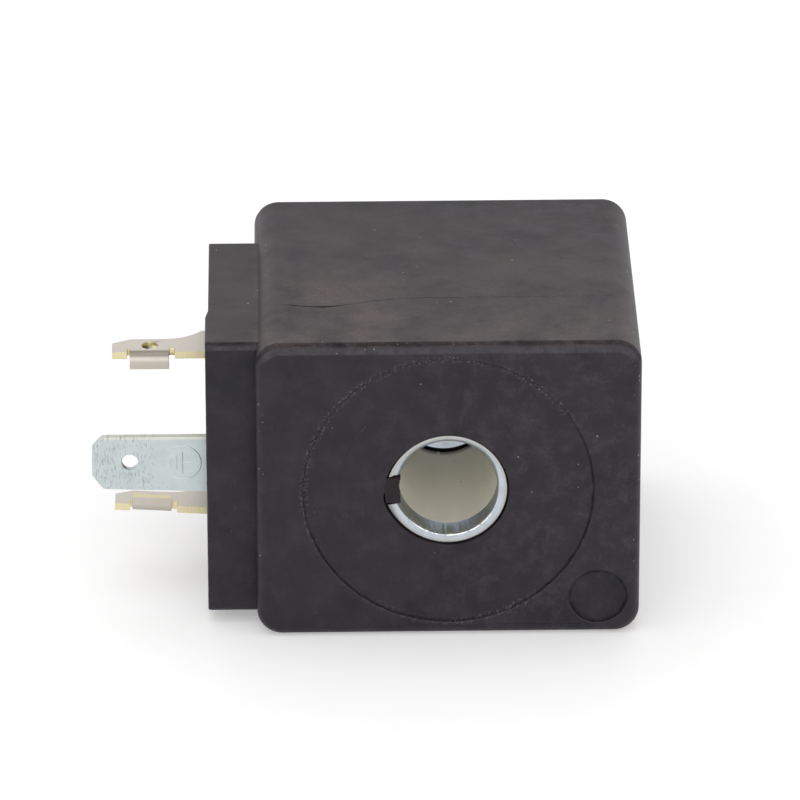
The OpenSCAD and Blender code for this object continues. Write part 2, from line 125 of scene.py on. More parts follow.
# %% Floor
FLOOR_Z = -16.5 * MM
FLOOR_HALF = 4
floor_mesh = bpy.data.meshes.new("pale_floor")
floor_mesh.from_pydata(
    [(sx * FLOOR_HALF, sy * FLOOR_HALF, FLOOR_Z) for sx, sy in ((-1, -1), (1, -1), (1, 1), (-1, 1))],
    [], [(0, 1, 2, 3)])
floor = bpy.data.objects.new("pale_floor", floor_mesh)
bpy.context.scene.collection.objects.link(floor)

floor_paper, tree, shader, place, in_mm = new_material("white_paper")
paper_fibres = add(tree, "ShaderNodeTexNoise", None, {"Vector": in_mm, "Scale": 0.4, "Detail": 3})
paper_colour = add(tree, "ShaderNodeMix", {"data_type": "RGBA"}, {
    0: paper_fibres.outputs["Fac"], 6: linear("f2f4f6"), 7: linear("f7f9fc")})
tree.links.new(paper_colour.outputs[2], shader.inputs["Base Color"])
shader.inputs["Roughness"].default_value = 0.9
shader.inputs["Specular IOR Level"].default_value = 0
rays = add(tree, "ShaderNodeLightPath")
seen = add(tree, "ShaderNodeMath", {"operation": "MAXIMUM"}, {
    0: rays.outputs["Is Camera Ray"], 1: rays.outputs["Is Glossy Ray"]})
seen = add(tree, "ShaderNodeMath", {"operation": "MAXIMUM"}, {
    0: seen.outputs[0], 1: rays.outputs["Is Transmission Ray"]})
glow_level = add(tree, "ShaderNodeMath", {"operation": "MULTIPLY"}, {0: seen.outputs[0], 1: 0.31})
glow = add(tree, "ShaderNodeEmission", None, {"Strength": glow_level.outputs[0]})
lifted = add(tree, "ShaderNodeAddShader", None, {0: shader.outputs[0], 1: glow.outputs[0]})
tree.links.new(lifted.outputs[0], tree.nodes["Material Output"].inputs["Surface"])
floor_mesh.materials.append(floor_paper)
print("floor at", FLOOR_Z / MM, "mm")

# %% World and lamps
world = bpy.data.worlds.new("white_room")
bpy.context.scene.world = world
world.use_nodes = True
tree = world.node_tree
rays = add(tree, "ShaderNodeLightPath")
# Reflections see a white wall all round and a darker ceiling, which draws the rounded edges
way = add(tree, "ShaderNodeTexCoord")
height = add(tree, "ShaderNodeSeparateXYZ", None, {0: way.outputs["Generated"]})
ceiling = add(tree, "ShaderNodeMapRange", {"interpolation_type": "SMOOTHSTEP"}, {
    "Value": height.outputs[2], "From Min": 0.5, "From Max": 0.85, "To Min": 1.0, "To Max": 0.25})
# A window behind the object shines into the bore
window = add(tree, "ShaderNodeMapRange", {"interpolation_type": "SMOOTHSTEP"}, {
    "Value": height.outputs[1], "From Min": 0.85, "From Max": 0.97, "To Min": 0.6, "To Max": 2.6})
reflected = add(tree, "ShaderNodeMix", None, {
    0: rays.outputs["Is Glossy Ray"], 2: window.outputs[0], 3: ceiling.outputs[0]})
seen = add(tree, "ShaderNodeMath", {"operation": "MAXIMUM"}, {
    0: rays.outputs["Is Camera Ray"], 1: rays.outputs["Is Transmission Ray"]})
level = add(tree, "ShaderNodeMath", {"operation": "MAXIMUM"}, {0: reflected.outputs[0], 1: seen.outputs[0]})
mirrored = add(tree, "ShaderNodeMath", {"operation": "MAXIMUM"}, {
    0: seen.outputs[0], 1: rays.outputs["Is Glossy Ray"]})
# The walls' light on the object is a little warm, as shadows in the photo are
tint = add(tree, "ShaderNodeMix", {"data_type": "RGBA"}, {
    0: mirrored.outputs[0], 6: linear("fff9f3"), 7: linear("ffffff")})
tree.links.new(tint.outputs[2], tree.nodes["Background"].inputs["Color"])
tree.links.new(level.outputs[0], tree.nodes["Background"].inputs["Strength"])


def soft_box(name, place, aim, size, watts, colour):
    """A square area lamp at a place in metres, aimed at a point."""
    lamp = bpy.data.lights.new(name, "AREA")
    lamp.size = size
    lamp.energy = watts
    lamp.color = linear(colour)[:3]
    holder = bpy.data.objects.new(name, lamp)
    bpy.context.scene.collection.objects.link(holder)
    holder.location = place
    holder.rotation_euler = (Vector(aim) - Vector(place)).to_track_quat("-Z", "Y").to_euler()
    return holder


soft_box("top_soft_box", (-0.08, 0.08, 0.9), (0, 0, 0), 0.8, 2.0, "f7faff")
soft_box("front_soft_box", (0.0, -0.9, 0.36), (0, 0, 0), 1.0, 2.2, "fcfdff")

# %% [markdown]
# ## The black moulding
#
# The body is glass-filled polyamide, moulded round the winding. Fresh from the mould it is a dull black with a fine
# grain, and lying among other parts in a box it gets grey scuffs, pale specks and rubbed edges. All of this is drawn
# from the place on the object in millimetres. The rubbed edges are found from the surface's own direction: on a flat
# face it points along one axis, and only on a rounded edge does it point between two of them.

# %% Material: black polyamide
moulding_black, tree, shader, place, in_mm = new_material("black_glass_filled_polyamide")
# A dull black with cloudy patches several millimetres wide, as glass fibres come to the surface
clouds = add(tree, "ShaderNodeTexNoise", None, {"Vector": in_mm, "Scale": 0.22, "Detail": 6, "Roughness": 0.62})
cloud_colour = add(tree, "ShaderNodeValToRGB", None, {"Fac": clouds.outputs["Fac"]})
cloud_colour.color_ramp.elements[0].position = 0.34
cloud_colour.color_ramp.elements[0].color = linear("17141a")
cloud_colour.color_ramp.elements[1].position = 0.70
cloud_colour.color_ramp.elements[1].color = linear("2b272e")
# The grain of the mould, a fifth of a millimetre across
grain = add(tree, "ShaderNodeTexNoise", None, {"Vector": in_mm, "Scale": 4.5, "Detail": 3, "Roughness": 0.65})
# What lies up gathers dust: a film in warm and mauve patches of about 5 mm. It is also a painted sheen that lightens
# the top, most towards the front, where the mould's draft tilts the face to the light
facing = add(tree, "ShaderNodeSeparateXYZ", None, {0: place.outputs["Normal"]})
lies_up = add(tree, "ShaderNodeMapRange", {"interpolation_type": "SMOOTHSTEP"}, {
    "Value": facing.outputs[2], "From Min": 0.35, "From Max": 0.95})
dust_patches = add(tree, "ShaderNodeTexNoise", None, {"Vector": in_mm, "Scale": 0.16, "Detail": 7, "Roughness": 0.66})
dust_level = add(tree, "ShaderNodeMapRange", None, {
    "Value": dust_patches.outputs["Fac"], "From Min": 0.36, "From Max": 0.64, "To Min": 0.03, "To Max": 0.52})
spot = add(tree, "ShaderNodeSeparateXYZ", None, {0: in_mm})
# Painted sheen: the film is stronger towards the front of the top
dust_drift = add(tree, "ShaderNodeMapRange", None, {
    "Value": spot.outputs[1], "From Min": -19, "From Max": 19, "To Min": 1.5, "To Max": 0.1})
dust_left = add(tree, "ShaderNodeMapRange", None, {
    "Value": spot.outputs[0], "From Min": -19, "From Max": 3, "To Min": 1.3, "To Max": 1.0})
off_boss = add(tree, "ShaderNodeMapRange", None, {
    "Value": spot.outputs[0], "From Min": -20.2, "From Max": -19.2, "To Min": 0.45, "To Max": 1.0})
dust_drift = add(tree, "ShaderNodeMath", {"operation": "MULTIPLY"}, {0: dust_drift.outputs[0], 1: dust_left.outputs[0]})
dust_drift = add(tree, "ShaderNodeMath", {"operation": "MULTIPLY"}, {0: dust_drift.outputs[0], 1: off_boss.outputs[0]})
dust_crumbs = add(tree, "ShaderNodeMapRange", None, {
    "Value": grain.outputs["Fac"], "From Min": 0.35, "From Max": 0.65, "To Min": 0.6, "To Max": 1.4})
dust_mask = add(tree, "ShaderNodeMath", {"operation": "MULTIPLY"}, {0: lies_up.outputs[0], 1: dust_level.outputs[0]})
dust_mask = add(tree, "ShaderNodeMath", {"operation": "MULTIPLY"}, {0: dust_mask.outputs[0], 1: dust_drift.outputs[0]})
dust_mask = add(tree, "ShaderNodeMath", {"operation": "MULTIPLY"}, {0: dust_mask.outputs[0], 1: dust_crumbs.outputs[0]})
dust_kinds = add(tree, "ShaderNodeTexNoise", None, {"Vector": in_mm, "Scale": 0.31, "Detail": 4})
dust_colour = add(tree, "ShaderNodeMix", {"data_type": "RGBA"}, {
    0: dust_kinds.outputs["Fac"], 6: linear("61504f"), 7: linear("5f5553")})
# The dust film and the painted sheen on the top enter the colour here
dusted = add(tree, "ShaderNodeMix", {"data_type": "RGBA"}, {
    0: dust_mask.outputs[0], 6: cloud_colour.outputs[0], 7: dust_colour.outputs[2]})
# Scuffs: groups of short upright strokes, half a millimetre wide and 2 mm long
stroke_way = add(tree, "ShaderNodeMapping", None, {
    "Vector": in_mm, "Rotation": (0, 0.12, 0), "Scale": (1.9, 1.1, 0.6)})
strokes = add(tree, "ShaderNodeTexNoise", None, {
    "Vector": stroke_way.outputs[0], "Scale": 1.0, "Detail": 5, "Roughness": 0.6})
stroke_core = add(tree, "ShaderNodeMapRange", {"interpolation_type": "SMOOTHSTEP"}, {
    "Value": strokes.outputs["Fac"], "From Min": 0.52, "From Max": 0.72})
stroke_groups = add(tree, "ShaderNodeTexNoise", None, {"Vector": in_mm, "Scale": 0.13, "Detail": 5, "Roughness": 0.7})
group_mask = add(tree, "ShaderNodeMapRange", {"interpolation_type": "SMOOTHSTEP"}, {
    "Value": stroke_groups.outputs["Fac"], "From Min": 0.55, "From Max": 0.70, "To Max": 0.26})
stroke_mask = add(tree, "ShaderNodeMath", {"operation": "MULTIPLY"}, {0: stroke_core.outputs[0], 1: group_mask.outputs[0]})
scuffed = add(tree, "ShaderNodeMix", {"data_type": "RGBA"}, {
    0: stroke_mask.outputs[0], 6: dusted.outputs[2], 7: linear("5f5d62")})
# Pale smudges a few millimetres wide, where fingers hold the front on its right side
smudges = add(tree, "ShaderNodeTexNoise", None, {"Vector": in_mm, "Scale": 0.42, "Detail": 6, "Roughness": 0.72})
smudge_core = add(tree, "ShaderNodeMapRange", {"interpolation_type": "SMOOTHSTEP"}, {
    "Value": smudges.outputs["Fac"], "From Min": 0.44, "From Max": 0.72, "To Max": 0.75})
held_side = add(tree, "ShaderNodeMapRange", {"interpolation_type": "SMOOTHSTEP"}, {
    "Value": spot.outputs[0], "From Min": -14, "From Max": 12, "To Min": 0.35, "To Max": 1.0})
smudge_mask = add(tree, "ShaderNodeMath", {"operation": "MULTIPLY"}, {0: smudge_core.outputs[0], 1: held_side.outputs[0]})
smudged = add(tree, "ShaderNodeMix", {"data_type": "RGBA"}, {
    0: smudge_mask.outputs[0], 6: scuffed.outputs[2], 7: linear("3f3b44")})
# Rounded edges: the largest part of the surface's direction is below one only there
direction = add(tree, "ShaderNodeVectorMath", {"operation": "ABSOLUTE"}, {0: place.outputs["Normal"]})
parts = add(tree, "ShaderNodeSeparateXYZ", None, {0: direction.outputs[0]})
larger = add(tree, "ShaderNodeMath", {"operation": "MAXIMUM"}, {0: parts.outputs[0], 1: parts.outputs[1]})
largest = add(tree, "ShaderNodeMath", {"operation": "MAXIMUM"}, {0: larger.outputs[0], 1: parts.outputs[2]})
rubbed = add(tree, "ShaderNodeMapRange", {"interpolation_type": "SMOOTHSTEP"}, {
    "Value": largest.outputs[0], "From Min": 0.99, "From Max": 0.9})
# Above the front face the long edge gets painted shade where it leaves the top, then a pale band of wear and painted
# highlight
turned_forward = add(tree, "ShaderNodeMath", {"operation": "MULTIPLY"}, {0: facing.outputs[1], 1: -1})
front_edge = add(tree, "ShaderNodeValToRGB", None, {"Fac": turned_forward.outputs[0]})
front_edge.color_ramp.elements[0].position = 0.03
front_edge.color_ramp.elements[0].color = (0.5, 0.5, 0.5, 1)
front_edge.color_ramp.elements[1].position = 1.0
front_edge.color_ramp.elements[1].color = (0.5, 0.5, 0.5, 1)
for share, shade in ((0.12, 0.0), (0.50, 0.0), (0.74, 1.0), (0.96, 0.9)):
    step = front_edge.color_ramp.elements.new(share)
    step.color = (shade, shade, shade, 1)
above = add(tree, "ShaderNodeMapRange", {"interpolation_type": "SMOOTHSTEP"}, {
    "Value": facing.outputs[2], "From Min": 0.08, "From Max": 0.3})
edge_patches = add(tree, "ShaderNodeTexNoise", None, {"Vector": in_mm, "Scale": 0.8, "Detail": 6, "Roughness": 0.7})
# Painted shade on the edge's round where it no longer mirrors the top
greasy = add(tree, "ShaderNodeMapRange", None, {
    "Value": front_edge.outputs[0], "From Min": 0.5, "From Max": 0.0, "To Max": 0.7})
greasy = add(tree, "ShaderNodeMath", {"operation": "MULTIPLY"}, {0: greasy.outputs[0], 1: above.outputs[0]})
grease_level = add(tree, "ShaderNodeMapRange", None, {
    "Value": edge_patches.outputs["Fac"], "From Min": 0.62, "From Max": 0.40, "To Min": 0.35, "To Max": 1.0})
greasy = add(tree, "ShaderNodeMath", {"operation": "MULTIPLY"}, {0: greasy.outputs[0], 1: grease_level.outputs[0]})
# Pale band: rubbed wear together with a painted highlight from the light in front
pale = add(tree, "ShaderNodeMapRange", None, {"Value": front_edge.outputs[0], "From Min": 0.5, "From Max": 1.0})
pale = add(tree, "ShaderNodeMath", {"operation": "MULTIPLY"}, {0: pale.outputs[0], 1: above.outputs[0]})
pale_level = add(tree, "ShaderNodeMapRange", None, {
    "Value": edge_patches.outputs["Fac"], "From Min": 0.35, "From Max": 0.65, "To Min": 0.25, "To Max": 1.0})
pale_mask = add(tree, "ShaderNodeMath", {"operation": "MULTIPLY"}, {0: pale.outputs[0], 1: pale_level.outputs[0]})
greased = add(tree, "ShaderNodeMix", {"data_type": "RGBA"}, {
    0: greasy.outputs[0], 6: smudged.outputs[2], 7: linear("0e0d11")})
edged = add(tree, "ShaderNodeMix", {"data_type": "RGBA"}, {
    0: pale_mask.outputs[0], 6: greased.outputs[2], 7: linear("4c4a50")})
# The seat's rim, 15 mm from the bore's middle, is worn to pale crumbs above and left, and elsewhere holds dirt with a
# painted shadow along its step
across = add(tree, "ShaderNodeCombineXYZ", None, {0: spot.outputs[0], 2: spot.outputs[2]})
from_axis = add(tree, "ShaderNodeVectorMath", {"operation": "LENGTH"}, {0: across.outputs[0]})
on_front = add(tree, "ShaderNodeMath", {"operation": "LESS_THAN"}, {0: spot.outputs[1], 1: -18.5})
off_rim = add(tree, "ShaderNodeMath", {"operation": "SUBTRACT"}, {0: from_axis.outputs["Value"], 1: 14.88})
off_rim = add(tree, "ShaderNodeMath", {"operation": "ABSOLUTE"}, {0: off_rim.outputs[0]})
rim_band = add(tree, "ShaderNodeMapRange", {"interpolation_type": "SMOOTHSTEP"}, {
    "Value": off_rim.outputs[0], "From Min": 0.65, "From Max": 0.1})
rim_line = add(tree, "ShaderNodeMapRange", {"interpolation_type": "SMOOTHSTEP"}, {
    "Value": off_rim.outputs[0], "From Min": 0.15, "From Max": 0.05})
upper_left = add(tree, "ShaderNodeMath", {"operation": "SUBTRACT"}, {0: spot.outputs[2], 1: spot.outputs[0]})
upper_left = add(tree, "ShaderNodeMapRange", {"interpolation_type": "SMOOTHSTEP"}, {
    "Value": upper_left.outputs[0], "From Min": 2.0, "From Max": 17.0, "To Min": 0.03, "To Max": 1.0})
crumbs = add(tree, "ShaderNodeTexNoise", None, {"Vector": in_mm, "Scale": 3.2, "Detail": 3, "Roughness": 0.75})
crumb_core = add(tree, "ShaderNodeMapRange", {"interpolation_type": "SMOOTHSTEP"}, {
    "Value": crumbs.outputs["Fac"], "From Min": 0.50, "From Max": 0.66, "To Max": 0.75})
crumb_mask = add(tree, "ShaderNodeMath", {"operation": "MULTIPLY"}, {0: crumb_core.outputs[0], 1: rim_band.outputs[0]})
# Two shorter stretches are worn as well, at half past one and at half past five
worn_side = upper_left
for way, reach in (((0.64, 0, 0.77), 1.0), ((0.34, 0, -0.94), 1.0), ((-0.42, 0, -0.91), 0.5)):
    along = add(tree, "ShaderNodeVectorMath", {"operation": "DOT_PRODUCT"}, {0: across.outputs[0], 1: way})
    stretch = add(tree, "ShaderNodeMapRange", {"interpolation_type": "SMOOTHSTEP"}, {
        "Value": along.outputs["Value"], "From Min": 13.4, "From Max": 14.8, "To Max": reach})
    worn_side = add(tree, "ShaderNodeMath", {"operation": "MAXIMUM"}, {0: worn_side.outputs[0], 1: stretch.outputs[0]})
crumb_mask = add(tree, "ShaderNodeMath", {"operation": "MULTIPLY"}, {0: crumb_mask.outputs[0], 1: worn_side.outputs[0]})
crumb_mask = add(tree, "ShaderNodeMath", {"operation": "MULTIPLY"}, {0: crumb_mask.outputs[0], 1: on_front.outputs[0]})
crumbled = add(tree, "ShaderNodeMix", {"data_type": "RGBA"}, {
    0: crumb_mask.outputs[0], 6: edged.outputs[2], 7: linear("716d73")})
dirt_side = add(tree, "ShaderNodeMapRange", None, {"Value": worn_side.outputs[0], "To Min": 0.95, "To Max": 0.1})
dirt_level = add(tree, "ShaderNodeMapRange", None, {
    "Value": edge_patches.outputs["Fac"], "From Min": 0.38, "From Max": 0.62, "To Min": 0.15, "To Max": 1.0})
# Dirt and painted shadow along the seat's step, away from the worn side
rim_dirt = add(tree, "ShaderNodeMath", {"operation": "MULTIPLY"}, {0: rim_line.outputs[0], 1: dirt_side.outputs[0]})
rim_dirt = add(tree, "ShaderNodeMath", {"operation": "MULTIPLY"}, {0: rim_dirt.outputs[0], 1: dirt_level.outputs[0]})
# The round mark's edge holds dirt as well, all the way round
to_mark = add(tree, "ShaderNodeVectorMath", {"operation": "DISTANCE"}, {0: across.outputs[0], 1: (15.5, 0, -12.2)})
off_mark = add(tree, "ShaderNodeMath", {"operation": "SUBTRACT"}, {0: to_mark.outputs["Value"], 1: 2.85})
off_mark = add(tree, "ShaderNodeMath", {"operation": "ABSOLUTE"}, {0: off_mark.outputs[0]})
mark_dirt = add(tree, "ShaderNodeMapRange", {"interpolation_type": "SMOOTHSTEP"}, {
    "Value": off_mark.outputs[0], "From Min": 0.26, "From Max": 0.08, "To Max": 0.85})
mark_dirt = add(tree, "ShaderNodeMath", {"operation": "MULTIPLY"}, {0: mark_dirt.outputs[0], 1: dirt_level.outputs[0]})
in_mark = add(tree, "ShaderNodeMath", {"operation": "LESS_THAN"}, {0: to_mark.outputs["Value"], 1: 2.85})
mark_film = add(tree, "ShaderNodeMath", {"operation": "MULTIPLY"}, {0: in_mark.outputs[0], 1: edge_patches.outputs["Fac"]})
mark_film = add(tree, "ShaderNodeMath", {"operation": "MULTIPLY"}, {0: mark_film.outputs[0], 1: 0.5})
mark_dirt = add(tree, "ShaderNodeMath", {"operation": "MAXIMUM"}, {0: mark_dirt.outputs[0], 1: mark_film.outputs[0]})
line_dirt = add(tree, "ShaderNodeMath", {"operation": "MAXIMUM"}, {0: rim_dirt.outputs[0], 1: mark_dirt.outputs[0]})
line_dirt = add(tree, "ShaderNodeMath", {"operation": "MULTIPLY"}, {0: line_dirt.outputs[0], 1: on_front.outputs[0]})
# The plastic in the bush's slit and in the hole round the bush is stained brown and darkened with painted shade
in_slit = add(tree, "ShaderNodeMath", {"operation": "LESS_THAN"}, {0: from_axis.outputs["Value"], 1: 7.0})
below_seat = add(tree, "ShaderNodeMath", {"operation": "COMPARE"}, {0: spot.outputs[1], 1: -17.1, 2: 1.59})
in_slit = add(tree, "ShaderNodeMath", {"operation": "MULTIPLY"}, {0: in_slit.outputs[0], 1: 0.4})
# Brown stain and painted shade in the slit and round the bush
slit_stain = add(tree, "ShaderNodeMath", {"operation": "MULTIPLY"}, {0: in_slit.outputs[0], 1: below_seat.outputs[0]})
stained = add(tree, "ShaderNodeMix", {"data_type": "RGBA"}, {
    0: slit_stain.outputs[0], 6: crumbled.outputs[2], 7: linear("160e0d")})
# Pale specks of dust and bare fibre, a tenth of a millimetre, thick on the edges and rare elsewhere
cells = add(tree, "ShaderNodeTexVoronoi", None, {"Vector": in_mm, "Scale": 2.1})
cell_chance = add(tree, "ShaderNodeSeparateColor", None, {0: cells.outputs["Color"]})
speck_size = add(tree, "ShaderNodeMapRange", None, {"Value": cell_chance.outputs[1], "To Min": 0.08, "To Max": 0.24})
speck_core = add(tree, "ShaderNodeMath", {"operation": "LESS_THAN"}, {
    0: cells.outputs["Distance"], 1: speck_size.outputs[0]})
chance = add(tree, "ShaderNodeMapRange", None, {"Value": rubbed.outputs[0], "To Min": 0.010, "To Max": 0.16})
chosen = add(tree, "ShaderNodeMath", {"operation": "LESS_THAN"}, {0: cell_chance.outputs[0], 1: chance.outputs[0]})
speck_all = add(tree, "ShaderNodeMath", {"operation": "MULTIPLY"}, {0: speck_core.outputs[0], 1: chosen.outputs[0]})
speck_tone = add(tree, "ShaderNodeMapRange", None, {"Value": cell_chance.outputs[2], "To Min": 0.15, "To Max": 0.7})
speck_mask = add(tree, "ShaderNodeMath", {"operation": "MULTIPLY"}, {0: speck_all.outputs[0], 1: speck_tone.outputs[0]})
specked = add(tree, "ShaderNodeMix", {"data_type": "RGBA"}, {
    0: speck_mask.outputs[0], 6: stained.outputs[2], 7: linear("a09d9c")})
# Painted shade in the parting line's groove, which carries its own attribute, and the dirt and painted shadow of the
# lines above
dirt = add(tree, "ShaderNodeAttribute", {"attribute_name": "dirt"})
all_dirt = add(tree, "ShaderNodeMath", {"operation": "MAXIMUM"}, {0: dirt.outputs["Fac"], 1: line_dirt.outputs[0]})
dirtied = add(tree, "ShaderNodeMix", {"data_type": "RGBA"}, {
    0: all_dirt.outputs[0], 6: specked.outputs[2], 7: linear("050406")})
tree.links.new(dirtied.outputs[2], shader.inputs["Base Color"])
shader.inputs["Specular IOR Level"].default_value = 0.34
sheen_level = add(tree, "ShaderNodeMapRange", None, {"Value": grain.outputs["Fac"], "To Min": 0.38, "To Max": 0.56})
dulled = add(tree, "ShaderNodeMath", {"operation": "MAXIMUM"}, {0: greasy.outputs[0], 1: all_dirt.outputs[0]})
dulled = add(tree, "ShaderNodeMath", {"operation": "MAXIMUM"}, {0: dulled.outputs[0], 1: slit_stain.outputs[0]})
dull_edge = add(tree, "ShaderNodeMix", None, {0: dulled.outputs[0], 2: sheen_level.outputs[0], 3: 0.9})
tree.links.new(dull_edge.outputs[0], shader.inputs["Roughness"])
swells = add(tree, "ShaderNodeBump", None, {"Height": clouds.outputs["Fac"], "Strength": 0.15, "Distance": 0.3 * MM})
skin = add(tree, "ShaderNodeBump", None, {
    "Height": grain.outputs["Fac"], "Strength": 0.25, "Distance": 0.06 * MM, "Normal": swells.outputs[0]})
crumb_skin = add(tree, "ShaderNodeBump", None, {
    "Height": crumb_mask.outputs[0], "Strength": 0.6, "Distance": 0.1 * MM, "Normal": skin.outputs[0]})
tree.links.new(crumb_skin.outputs[0], shader.inputs["Normal"])
print("material:", moulding_black.name)

# %% [markdown]
# ## The moulding's shape
#
# The solid already has the right form, so a copy of it is made whole again: the loose triangles are joined, and flat
# ones melt into large faces. Then come the traces of the mould that the solid leaves out. The two halves of the mould
# meet in a plane across the body, where the boss's rear half lies a little deeper than its front half. The boss's end
# is rubbed round first, while its faces are still whole.

# %% Helpers for copies of solids
def whole_copy(node):
    """A bmesh of a CAD node, with its triangles joined and its flat faces made whole."""
    bm = bmesh.new()
    bm.from_mesh(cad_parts[node].data)
    bmesh.ops.remove_doubles(bm, verts=bm.verts, dist=0.001 * MM)
    bmesh.ops.dissolve_limit(bm, angle_limit=math.radians(0.1), verts=bm.verts, edges=bm.edges)
    return bm


def make_piece(name, bm, materials, sharp_deg=32):
    """Turns a bmesh into an object with smooth rounds, sharp edges and even shading on its flat faces."""
    bm.normal_update()
    for edge in bm.edges:
        edge.smooth = edge.calc_face_angle(0) < math.radians(sharp_deg)
    mesh = bpy.data.meshes.new(name)
    bm.to_mesh(mesh)
    bm.free()
    for material in materials:
        mesh.materials.append(material)
    mesh.shade_smooth()
    piece = bpy.data.objects.new(name, mesh)
    bpy.context.scene.collection.objects.link(piece)
    even = piece.modifiers.new("even_shading", "WEIGHTED_NORMAL")
    even.keep_sharp = True
    settled = bpy.data.meshes.new_from_object(piece.evaluated_get(bpy.context.evaluated_depsgraph_get()))
    piece.modifiers.remove(even)
    piece.data = settled
    return piece


def takes_place_of(piece, node):
    """Hands a finished piece to the frame, in the place of a CAD node."""
    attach(piece, "root")
    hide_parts(node)
    print(piece.name, "faces:", len(piece.data.polygons))
    return piece


# %% Moulding: the end of the boss
BOSS_FACE_X = -24.9
BOSS_RIM = 0.18

bm = whole_copy("encapsulation")
# A per-vertex value for the painted shade in the parting line's groove
dirt_layer = bm.verts.layers.float.new("dirt")


def at_boss_rim(edge):
    """True for the outer edges of the boss's end face."""
    middle = (edge.verts[0].co + edge.verts[1].co) / 2 / MM
    ends = all(v.co.x / MM < BOSS_FACE_X + 0.02 for v in edge.verts)
    return ends and edge.is_manifold and edge.calc_face_angle() > 1.0 and (
        abs(middle.z) > 14.4 or middle.y < -14.8 or middle.y > 9.8)


long_rim = [e for e in bm.edges if at_boss_rim(e) and e.calc_length() > 5 * MM]
bmesh.ops.bisect_edges(bm, edges=long_rim, cuts=50)
bmesh.ops.bevel(bm, geom=[e for e in bm.edges if at_boss_rim(e)], offset=BOSS_RIM * MM, offset_type="OFFSET",
                segments=3, profile=0.5, affect="EDGES")
print("boss rim:", len(long_rim), "long edges rubbed round")

# %% Moulding: a step in the boss
PARTING_Y = -6.8
BOSS_TOP_Z = 15.3
BOSS_ROOT_X = -20
STEP_IN = 0.3
STEP_RUN = 1.8
STEP_DOWN = 0.06
TRIMMED_Y = -15.2


def boss_faces():
    """The faces of the boss, outside the block."""
    return [f for f in bm.faces if f.calc_center_median().x < -20 * MM]


bmesh.ops.triangulate(bm, faces=[f for f in boss_faces() if f.normal.x < -0.99])
for cut_y in (PARTING_Y, PARTING_Y - 0.04, PARTING_Y - STEP_RUN, TRIMMED_Y):
    on_boss = boss_faces()
    touched = list({e for f in on_boss for e in f.edges}) + list({v for f in on_boss for v in f.verts}) + on_boss
    bmesh.ops.bisect_plane(bm, geom=touched, dist=0.0001 * MM, plane_co=(0, cut_y * MM, 0), plane_no=(0, 1, 0))
for vert in bm.verts:
    x, y, z = vert.co / MM
    # The end face moves in whole, and the skin behind it follows less and less, so that no face folds over
    if x < BOSS_FACE_X + BOSS_RIM + 0.01 or abs(z) > BOSS_TOP_Z - BOSS_RIM - 0.01:
        share = min(1, max(0, (BOSS_ROOT_X - x) / (BOSS_ROOT_X - BOSS_FACE_X - BOSS_RIM)))
        vert.co.x += share * STEP_IN * min(1, max(0, (y - PARTING_Y + STEP_RUN) / STEP_RUN)) * MM
    if x < -19.3 and abs(z) > BOSS_TOP_Z - BOSS_RIM - 0.01 and y > PARTING_Y - 0.001:
        vert.co.z -= math.copysign(STEP_DOWN, z) * MM
    # The end was trimmed by hand, so its front edge is not quite straight
    if x < BOSS_FACE_X + BOSS_RIM + 0.01 and y < TRIMMED_Y - 0.2:
        vert.co.x += 0.05 * (1 + math.sin(2.3 * z + 1.9 * math.sin(0.9 * z)) * math.sin(0.7 * z + 1)) * MM
on_boss = boss_faces()
bmesh.ops.dissolve_limit(bm, angle_limit=math.radians(1), verts=list({v for f in on_boss for v in f.verts}),
                         edges=list({e for f in on_boss for e in f.edges}))
print("boss step:", STEP_IN, "mm in and", STEP_DOWN, "mm down behind y", PARTING_Y)

# %% [markdown]
# Where the halves meet on top, the plastic shows a fine wavy line. A strip of the flat face is cut out along it, given
# many short steps, and its middle row is pressed in: a real groove, deep on the left and fading to the right, with
# painted shade in it.

# %% Moulding: the wavy parting line
LINE_STEPS = 110


def press_line(bm, height, x0, x1, route, strength):
    """Presses a groove into the flat face at a height; route gives y and strength gives 0 to 1 along x, in mm."""
    rows = []
    for offset in (-0.2, 0.0, 0.2):
        flat = [f for f in bm.faces if f.normal.z > 0.99 and abs(f.calc_center_median().z / MM - height) < 0.01
                and x0 - 3 < f.calc_center_median().x / MM < x1 + 3]
        touched = list({e for f in flat for e in f.edges}) + list({v for f in flat for v in f.verts}) + flat
        made = bmesh.ops.bisect_plane(
            bm, geom=touched, dist=0.0001 * MM, plane_co=(0, (PARTING_Y + offset) * MM, 0), plane_no=(0, 1, 0))
        rows.append([e for e in made["geom_cut"] if isinstance(e, bmesh.types.BMEdge)])
    for offset, row in zip((-1, 0, 1), rows):
        split = bmesh.ops.subdivide_edges(bm, edges=row, cuts=LINE_STEPS)
        line = {v for e in row if e.is_valid for v in e.verts}
        line |= {v for v in split["geom_inner"] if isinstance(v, bmesh.types.BMVert)}
        for vert in line:
            x = vert.co.x / MM
            force = strength(x)
            vert.co.y = (route(x) + offset * (0.04 + 0.2 * force)) * MM
            if offset == 0:
                vert.co.z -= 0.2 * force * MM
                # The middle row carries the painted shade of the groove
                vert[dirt_layer] = force


def top_route(x):
    """The line's place on top of the block: a dip near the left edge, then a slow rise."""
    return -7.0 - 2.1 * math.exp(-((x + 13.2) / 5.6) ** 2) + 0.05 * math.sin(2.3 * x) + 0.03 * math.sin(7.1 * x)


def top_strength(x):
    """Strongest in the dip, then thin and broken, and gone towards the ends."""
    ends = min(1.0, max(0.0, (17.1 - abs(x)) / 0.6))
    broken = 0.5 + 0.5 * math.sin(1.9 * x + 0.7) * math.sin(0.83 * x)
    return ends * (0.95 * math.exp(-((x + 13.6) / 2.4) ** 2) + 0.4 * broken * math.exp(-((x + 3) / 11) ** 2))


press_line(bm, 16.5, -17.2, 17.2, top_route, top_strength)
print("parting line pressed into the top")

